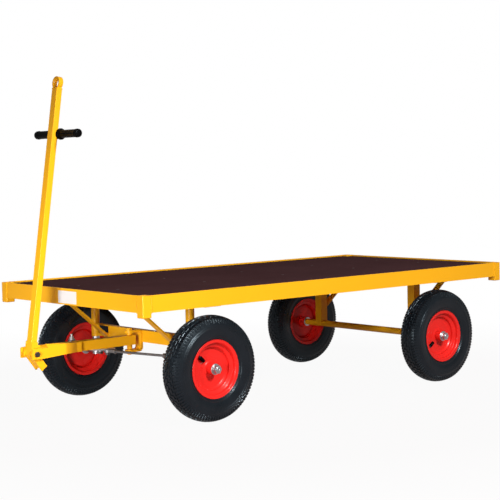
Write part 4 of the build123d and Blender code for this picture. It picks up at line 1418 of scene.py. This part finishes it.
@dataclass
class DeckScrews:
    """The countersunk screws along each bearer."""

    head: float = 0.0060
    rows: int = 4
    stations: int = 5
    socket: float = 0.0024
    proud: float = 0.0001
    sides: int = 12

    def _head(self) -> Draft:
        """Draws one screw head with a round socket.

        Returns:
            The head's mesh, its face at the origin.
        """
        draft = Draft()
        profile = [
            (0.0001, -0.0016),
            (self.socket, -0.0016),
            (self.socket * 1.12, 0.0),
            (self.head * 0.86, 0.0),
            (self.head * 0.97, -0.0004),
            (self.head, -0.0010),
            (self.head * 0.98, -0.0030),
            (0.0001, -0.0030),
        ]
        draft.turn(profile, self.sides)
        return draft

    def dress(self, finishes: Finishes, tools: Tools) -> None:
        """Puts a screw at each place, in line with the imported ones.

        Args:
            finishes: the cart's finishes.
            tools: the Geometry Nodes trees.
        """
        low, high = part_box("deck_screws")
        upright = Matrix.Rotation(math.radians(90.0), 4, "X")
        unit = self._head().build("screw_head_unit", upright, 30.0)
        first = Vector((low.x + self.head, low.y + self.head, high.z))
        last = Vector((high.x - self.head, high.y - self.head, high.z))
        places = Draft()
        for station in range(self.stations):
            for row in range(self.rows):
                x = first.x + (last.x - first.x) * station / (self.stations - 1)
                y = first.y + (last.y - first.y) * row / (self.rows - 1)
                places.point((x, y, high.z + self.proud))
        screws = places.build("deck_screw_heads")
        tools.spot.apply(screws, {"Fastener": unit, "Seed": 4, "Finish": finishes.dull})
        bpy.data.objects.remove(unit)
        settle(screws, finishes.dull, Slot.ZINC, "chassis", "deck_screws")


@dataclass
class WeldSeams:
    """Weld beads where the steel pieces meet, painted over with the rest."""

    bead: float = 0.0024
    pitch: float = 0.0034
    ring_steps: int = 24
    flat_skin: float = 0.0004
    tube_skin: float = 0.0006
    bush_skin: float = 0.0008
    end_gap: float = 0.0010
    tube_reach: float = 0.0166
    tube_bow: float = 0.0020
    beam_lip: float = 0.0120
    bracket_inset: float = 0.0030
    brace_width: float = 0.0300
    foot_height: float = 0.0110
    leg_width: float = 0.0400
    right_fork_drop: float = 0.0035
    fork_lap: float = 0.0230
    lug_inset: float = 0.0040
    pivot_inset: float = 0.0190
    lean: float = math.radians(8.6)
    handle_half_depth: float = 0.0125
    handle_half_width: float = 0.0180
    tee_height: float = 0.8495
    tee_half: float = 0.0075
    tee_back: float = 0.0022
    tee_inset: float = 0.0020
    cheek_low: float = 0.0360
    cheek_top: float = 0.0450
    cheek_skin: float = 0.0005

    def _upright(self, draft: Draft, x: float, y: float, low: float, high: float) -> None:
        """Adds an upright seam."""
        draft.path([(x, y, low), (x, y, high)])

    def _ring(self, draft: Draft, centre: Vector, radius: float, height: float) -> None:
        """Adds a level seam round a tube.

        Args:
            draft: the mesh to add to.
            centre: a place on the tube's axis.
            radius: the seam's radius.
            height: the seam's height.
        """
        spots: list[Point] = []
        for step in range(self.ring_steps):
            angle = 2.0 * math.pi * step / self.ring_steps
            spots.append((centre.x + radius * math.cos(angle), centre.y + radius * math.sin(angle), height))
        draft.path(spots, True)

    def _rails(self, draft: Draft) -> None:
        """Adds the seams between the rails and the corner posts.

        Args:
            draft: the mesh to add to.
        """
        for label in ("left_rail", "right_rail"):
            low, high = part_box(label)
            y = high.y if high.y > 0.1 else low.y
            self._upright(draft, low.x, y, low.z, high.z - self.end_gap)
            self._upright(draft, high.x, y, low.z, high.z - self.end_gap)
        for label in ("front_rail", "rear_rail"):
            low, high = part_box(label)
            x = high.x if label == "front_rail" else low.x
            self._upright(draft, x, low.y, low.z, high.z - self.end_gap)
            self._upright(draft, x, high.y, low.z, high.z - self.end_gap)

    def _axles(self, draft: Draft) -> None:
        """Adds the seams of the king-pin tubes, the beam, the bracket, the braces and the rear legs.

        Args:
            draft: the mesh to add to.
        """
        beam_low, beam_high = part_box("front_beam")
        for label in ("left_kingpin_tube", "right_kingpin_tube"):
            low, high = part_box(label)
            middle = (low + high) / 2
            side = 1.0 if middle.y > 0 else -1.0
            radius = (high.x - low.x) / 2 + self.tube_skin
            self._ring(draft, middle, radius, high.z - self.flat_skin)
            inner = middle.y - side * self.tube_reach
            lip = beam_low.z + self.beam_lip
            self._upright(draft, beam_high.x - self.tube_skin, inner, beam_low.z, lip)
            rear = (beam_low.x, inner + side * self.tube_bow, beam_high.z)
            draft.path([rear, (beam_high.x, inner, beam_high.z)])
        low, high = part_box("pivot_bracket")
        front = beam_high.x + self.flat_skin
        inset = self.bracket_inset
        for y in (low.y, high.y):
            self._upright(draft, front, y, beam_low.z + inset, beam_high.z - inset)
        feet_low, feet_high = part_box("front_braces")
        top = feet_low.z + self.foot_height
        for y0 in (feet_high.y - self.brace_width, feet_low.y):
            y1 = y0 + self.brace_width
            draft.path([(beam_high.x, y0, top), (beam_high.x, y1, top)])
            for y in (y0, y1):
                self._upright(draft, front, y, feet_low.z, top)
        legs_low, legs_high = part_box("rear_legs")
        for y0 in (legs_low.y, legs_high.y - self.leg_width):
            y1 = y0 + self.leg_width
            draft.path(
                [
                    (legs_low.x, y0, legs_high.z),
                    (legs_high.x, y0, legs_high.z),
                    (legs_high.x, y1, legs_high.z),
                    (legs_low.x, y1, legs_high.z),
                ],
                True,
            )

    def _drawbar(self, draft: Draft) -> None:
        """Adds the seams of the fork plates, the pivot bush and the steering lug.

        Args:
            draft: the mesh to add to.
        """
        low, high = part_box("drawbar_tube")
        fork_low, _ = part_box("fork_plates")
        lug_low, lug_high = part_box("steering_lug")
        lug_ends = (lug_low.x + self.lug_inset, lug_high.x - self.lug_inset)
        for side in (1.0, -1.0):
            flank = side * high.y
            face = flank + side * self.flat_skin
            self._upright(draft, fork_low.x, face, low.z + self.end_gap, high.z - self.end_gap)
            top = high.z if side > 0 else high.z - self.right_fork_drop
            for z in (low.z, top):
                draft.path([(fork_low.x, flank, z), (fork_low.x + self.fork_lap, flank, z)])
            draft.path([(x, flank, low.z) for x in lug_ends])
        bush_low, bush_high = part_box("drawbar_bush")
        middle = (bush_low + bush_high) / 2
        radius = (bush_high.x - bush_low.x) / 2 + self.bush_skin
        for height in (high.z, low.z):
            self._ring(draft, middle, radius, height)

    def _handle_spot(self, pivot: Vector, forward: float, across: float, up: float) -> Point:
        """Finds a place on the leaning handle.

        Args:
            pivot: the handle's pivot.
            forward: the distance ahead of the tube's axis.
            across: the distance to the cart's left.
            up: the distance along the tube.

        Returns:
            The place in the cart's frame.
        """
        x = pivot.x + forward * math.cos(self.lean) - up * math.sin(self.lean)
        z = pivot.z + forward * math.sin(self.lean) + up * math.cos(self.lean)
        return (x, across, z)

    def _handle(self, draft: Draft, pivot: Vector) -> None:
        """Adds the seams of the tee bar and the foot's cheeks.

        Args:
            draft: the mesh to add to.
            pivot: the handle's pivot.
        """
        half_x = self.handle_half_depth
        half_y = self.handle_half_width
        for up in (self.tee_height + self.tee_half, self.tee_height - self.tee_half):
            ends = (-half_y + self.tee_inset, half_y - self.tee_inset)
            draft.path([self._handle_spot(pivot, -half_x - self.tee_back, y, up) for y in ends])
        for side in (1.0, -1.0):
            flank = side * (half_y + self.cheek_skin)
            for x in (half_x - self.end_gap, self.end_gap - half_x):
                heights = (self.cheek_low, self.cheek_top)
                draft.path([self._handle_spot(pivot, x, flank, up) for up in heights])
            crest = side * (half_y + self.tube_skin)
            level = (self.tee_inset - half_x, half_x - self.tee_inset)
            draft.path([self._handle_spot(pivot, x, crest, self.cheek_top) for x in level])

    def dress(self, finishes: Finishes, tools: Tools) -> None:
        """Lays the beads, one mesh for each body.

        Args:
            finishes: the cart's finishes.
            tools: the Geometry Nodes trees.
        """
        fork_low, fork_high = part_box("fork_plates")
        pivot = Vector((fork_high.x - self.pivot_inset, 0.0, fork_low.z + self.pivot_inset))
        chassis, drawbar, handle = Draft(), Draft(), Draft()
        self._rails(chassis)
        self._axles(chassis)
        self._drawbar(drawbar)
        self._handle(handle, pivot)
        for body, draft, seed in (("chassis", chassis, 3), ("drawbar", drawbar, 5), ("handle", handle, 8)):
            beads = draft.build(body + "_weld_beads")
            sizes = {"Bead radius": self.bead, "Pitch": self.pitch, "Seed": seed}
            tools.seam.apply(beads, {**sizes, "Finish": finishes.yellow})
            settle(beads, finishes.yellow, Slot.YELLOW, body)


@dataclass
class BlankPlate:
    """A blank film plate on the front rail."""

    width: float = 0.129
    height: float = 0.049
    centre_y: float = -0.0015
    centre_z: float = 0.4800
    corner: float = 0.0025
    thickness: float = 0.0004
    sink: float = 0.0002

    def dress(self, finishes: Finishes) -> None:
        """Builds the plate on the rail's front face.

        Args:
            finishes: the cart's finishes.
        """
        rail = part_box("front_rail")[1].x
        corners = [
            (-self.width / 2, -self.height / 2),
            (self.width / 2, -self.height / 2),
            (self.width / 2, self.height / 2),
            (-self.width / 2, self.height / 2),
        ]
        outline = rounded(corners, self.corner, 4)
        draft = Draft()
        faces: list[list[int]] = []
        for x in (rail + self.thickness, rail - self.sink):
            faces.append([draft.point((x, self.centre_y + y, self.centre_z + z)) for y, z in outline])
        front, back = faces
        draft.faces.append(tuple(front))
        draft.faces.append(tuple(reversed(back)))
        for index in range(len(outline)):
            after = (index + 1) % len(outline)
            draft.faces.append((front[index], back[index], back[after], front[after]))
        plate = draft.build("blank_rail_plate")
        settle(plate, finishes.film, Slot.YELLOW, "chassis")


@dataclass
class PhotoCamera:
    """The camera at the photograph's viewing angle."""

    ahead: float = 2.82124
    left: float = 4.38357
    height: float = 0.96456
    yaw: float = -2.2807
    pitch: float = -0.0607
    roll: float = -0.0201
    focal_pixels: float = 1328.33
    frame_pixels: float = 500.0
    sensor: float = 36.0

    def build(self) -> None:
        """Makes the camera, placed from the cart's front edge, and gives it to the scene."""
        place = Vector((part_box("front_corner_posts")[1].x + self.ahead, self.left, self.height))
        look = Vector(
            (
                math.cos(self.pitch) * math.cos(self.yaw),
                math.cos(self.pitch) * math.sin(self.yaw),
                math.sin(self.pitch),
            )
        )
        right = look.cross(Vector((0.0, 0.0, 1.0))).normalized()
        up = right.cross(look)
        across = right * math.cos(self.roll) + up * math.sin(self.roll)
        above = up * math.cos(self.roll) - right * math.sin(self.roll)
        turn = Matrix((across, above, -look)).transposed().to_4x4()
        data = bpy.data.cameras.new("photo_camera")
        data.sensor_width = self.sensor
        data.sensor_fit = "HORIZONTAL"
        data.lens = self.focal_pixels / self.frame_pixels * self.sensor
        data.clip_end = 200.0
        camera = bpy.data.objects.new("photo_camera", data)
        camera.matrix_world = Matrix.Translation(place) @ turn
        bpy.context.scene.collection.objects.link(camera)
        bpy.context.scene.camera = camera


@dataclass(frozen=True)
class SoftBox:
    """One soft lamp that the camera doesn't see."""

    name: str
    place: Point
    target: Point
    size: float
    power: float
    spread: float = 180.0
    in_gloss: bool = True

    def build(self) -> None:
        """Hangs the lamp."""
        data = bpy.data.lights.new(self.name, "AREA")
        data.shape = "SQUARE"
        data.size = self.size
        data.energy = self.power
        data.spread = math.radians(self.spread)
        lamp = bpy.data.objects.new(self.name, data)
        aim = Vector(self.target) - Vector(self.place)
        turn = aim.to_track_quat("-Z", "Y").to_matrix().to_4x4()
        lamp.matrix_world = Matrix.Translation(Vector(self.place)) @ turn
        lamp.visible_camera = False
        lamp.visible_glossy = self.in_gloss
        bpy.context.scene.collection.objects.link(lamp)


@dataclass
class Studio:
    """A pale floor, a white surround and soft lamps."""

    floor_half: float = 40.0
    floor_drop: float = 0.0004
    ambient: float = 0.12
    sheen: float = 0.24
    floor_sheen: float = 0.34
    warmth: Colour = (1.0, 0.50, 0.44)
    floor_matt: float = 0.22
    floor_white: float = 0.95
    near: float = 1.4
    far: float = 2.8
    lamps: tuple[SoftBox, ...] = (
        SoftBox("key_lamp", (0.7, 4.3, 2.75), (0.1, 0.4, 0.35), 0.6, 222.0),
        SoftBox("front_lamp", (3.0, 1.3, 0.52), (0.9, -0.2, 0.35), 0.9, 11.2, 65.0),
        SoftBox("top_lamp", (0.0, 0.4, 5.5), (0.0, 0.2, 0.0), 4.0, 45.0),
        SoftBox("back_lamp", (-3.2, -3.6, 0.95), (0.0, 0.0, 0.45), 1.5, 170.0, 180.0, False),
    )

    def _world(self) -> None:
        """A surround that is white to the camera, dimmer in gloss and a soft warm fill elsewhere."""
        world = bpy.data.worlds.new("white_surround")
        world.use_nodes = True
        world.node_tree.nodes.clear()
        graph = Graph(world.node_tree)
        path = graph.node("ShaderNodeLightPath", {}, {}, "Is Camera Ray")
        plain = path.largest(path.out("Is Transmission Ray"))
        white = (1.0, 1.0, 1.0, 1.0)
        warm = (*self.warmth, 1.0)
        fill = graph.node("ShaderNodeBackground", {}, {"Color": warm, "Strength": self.ambient})
        gloss = graph.node("ShaderNodeBackground", {}, {"Color": white, "Strength": self.sheen})
        seen = graph.node("ShaderNodeBackground", {}, {"Color": white, "Strength": 1.0})
        soft = graph.node("ShaderNodeMixShader", {}, {0: path.out("Is Glossy Ray"), 1: fill, 2: gloss})
        light = graph.node("ShaderNodeMixShader", {}, {0: plain, 1: soft, 2: seen})
        graph.node("ShaderNodeOutputWorld", {}, {"Surface": light})
        bpy.context.scene.world = world

    def _floor_material(self) -> bpy.types.Material:
        """Makes a pale matt floor that reads as white and keeps the cart's shadow.

        Returns:
            The floor's material.
        """
        material = bpy.data.materials.new("pale_floor")
        material.use_nodes = True
        material.node_tree.nodes.clear()
        graph = Graph(material.node_tree)
        path = graph.node("ShaderNodeLightPath", {}, {}, "Is Camera Ray")
        gloss = path.out("Is Glossy Ray") * self.floor_sheen
        seen = path.largest(gloss).largest(path.out("Is Transmission Ray"))
        place = graph.node("ShaderNodeTexCoord", outlet="Object")
        away = graph.node("ShaderNodeVectorMath", {"operation": "LENGTH"}, {0: place}, "Value")
        cover = away.between(self.near, self.far) * (1.0 - self.floor_white) + self.floor_white
        pale = [self.floor_matt * share for share in self.warmth]
        matt = graph.node("ShaderNodeBsdfDiffuse", {}, {"Color": (*pale, 1.0)})
        white = graph.node("ShaderNodeEmission", {}, {"Color": (1.0, 1.0, 1.0, 1.0), "Strength": 1.0})
        mixed = graph.node("ShaderNodeMixShader", {}, {0: seen * cover, 1: matt, 2: white})
        graph.node("ShaderNodeOutputMaterial", {}, {"Surface": mixed})
        return material

    def build(self) -> None:
        """Makes the floor, the surround and the lamps."""
        draft = Draft()
        half = self.floor_half
        corners = [(-half, -half), (half, -half), (half, half), (-half, half)]
        draft.faces.append(tuple(draft.point((x, y, -self.floor_drop)) for x, y in corners))
        floor = draft.build("studio_floor")
        floor.data.materials.append(self._floor_material())
        self._world()
        for lamp in self.lamps:
            lamp.build()
        bpy.context.scene.view_settings.view_transform = "Standard"


def dress_packed_nodes(frame: dict[str, Any], finishes: Finishes) -> None:
    """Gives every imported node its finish.

    Args:
        frame: the loaded frame.
        finishes: the cart's finishes.
    """
    for part in frame["record"]["subparts"]:
        node = frame["nodes"][part["node"]]
        material = finishes.for_node(part["node"], part["material_slot"])
        if not node.material_slots:
            node.data.materials.append(material)
        for slot in node.material_slots:
            slot.material = material
    LOG.info("%d packed nodes dressed", len(frame["nodes"]))


def main() -> None:
    """Builds the picture: frame, finishes, pieces, studio and camera."""
    logging.basicConfig(level=logging.INFO, format="%(name)s: %(message)s")
    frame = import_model()
    finishes = Finishes()
    tools = Tools()
    dress_packed_nodes(frame, finishes)
    Wheels().dress(finishes, tools)
    HandGrips().dress(finishes)
    HandleNut().dress(finishes)
    DeckScrews().dress(finishes, tools)
    WeldSeams().dress(finishes, tools)
    BlankPlate().dress(finishes)
    Studio().build()
    PhotoCamera().build()
    bpy.context.view_layer.update()


if __name__ == "__main__":
    main()
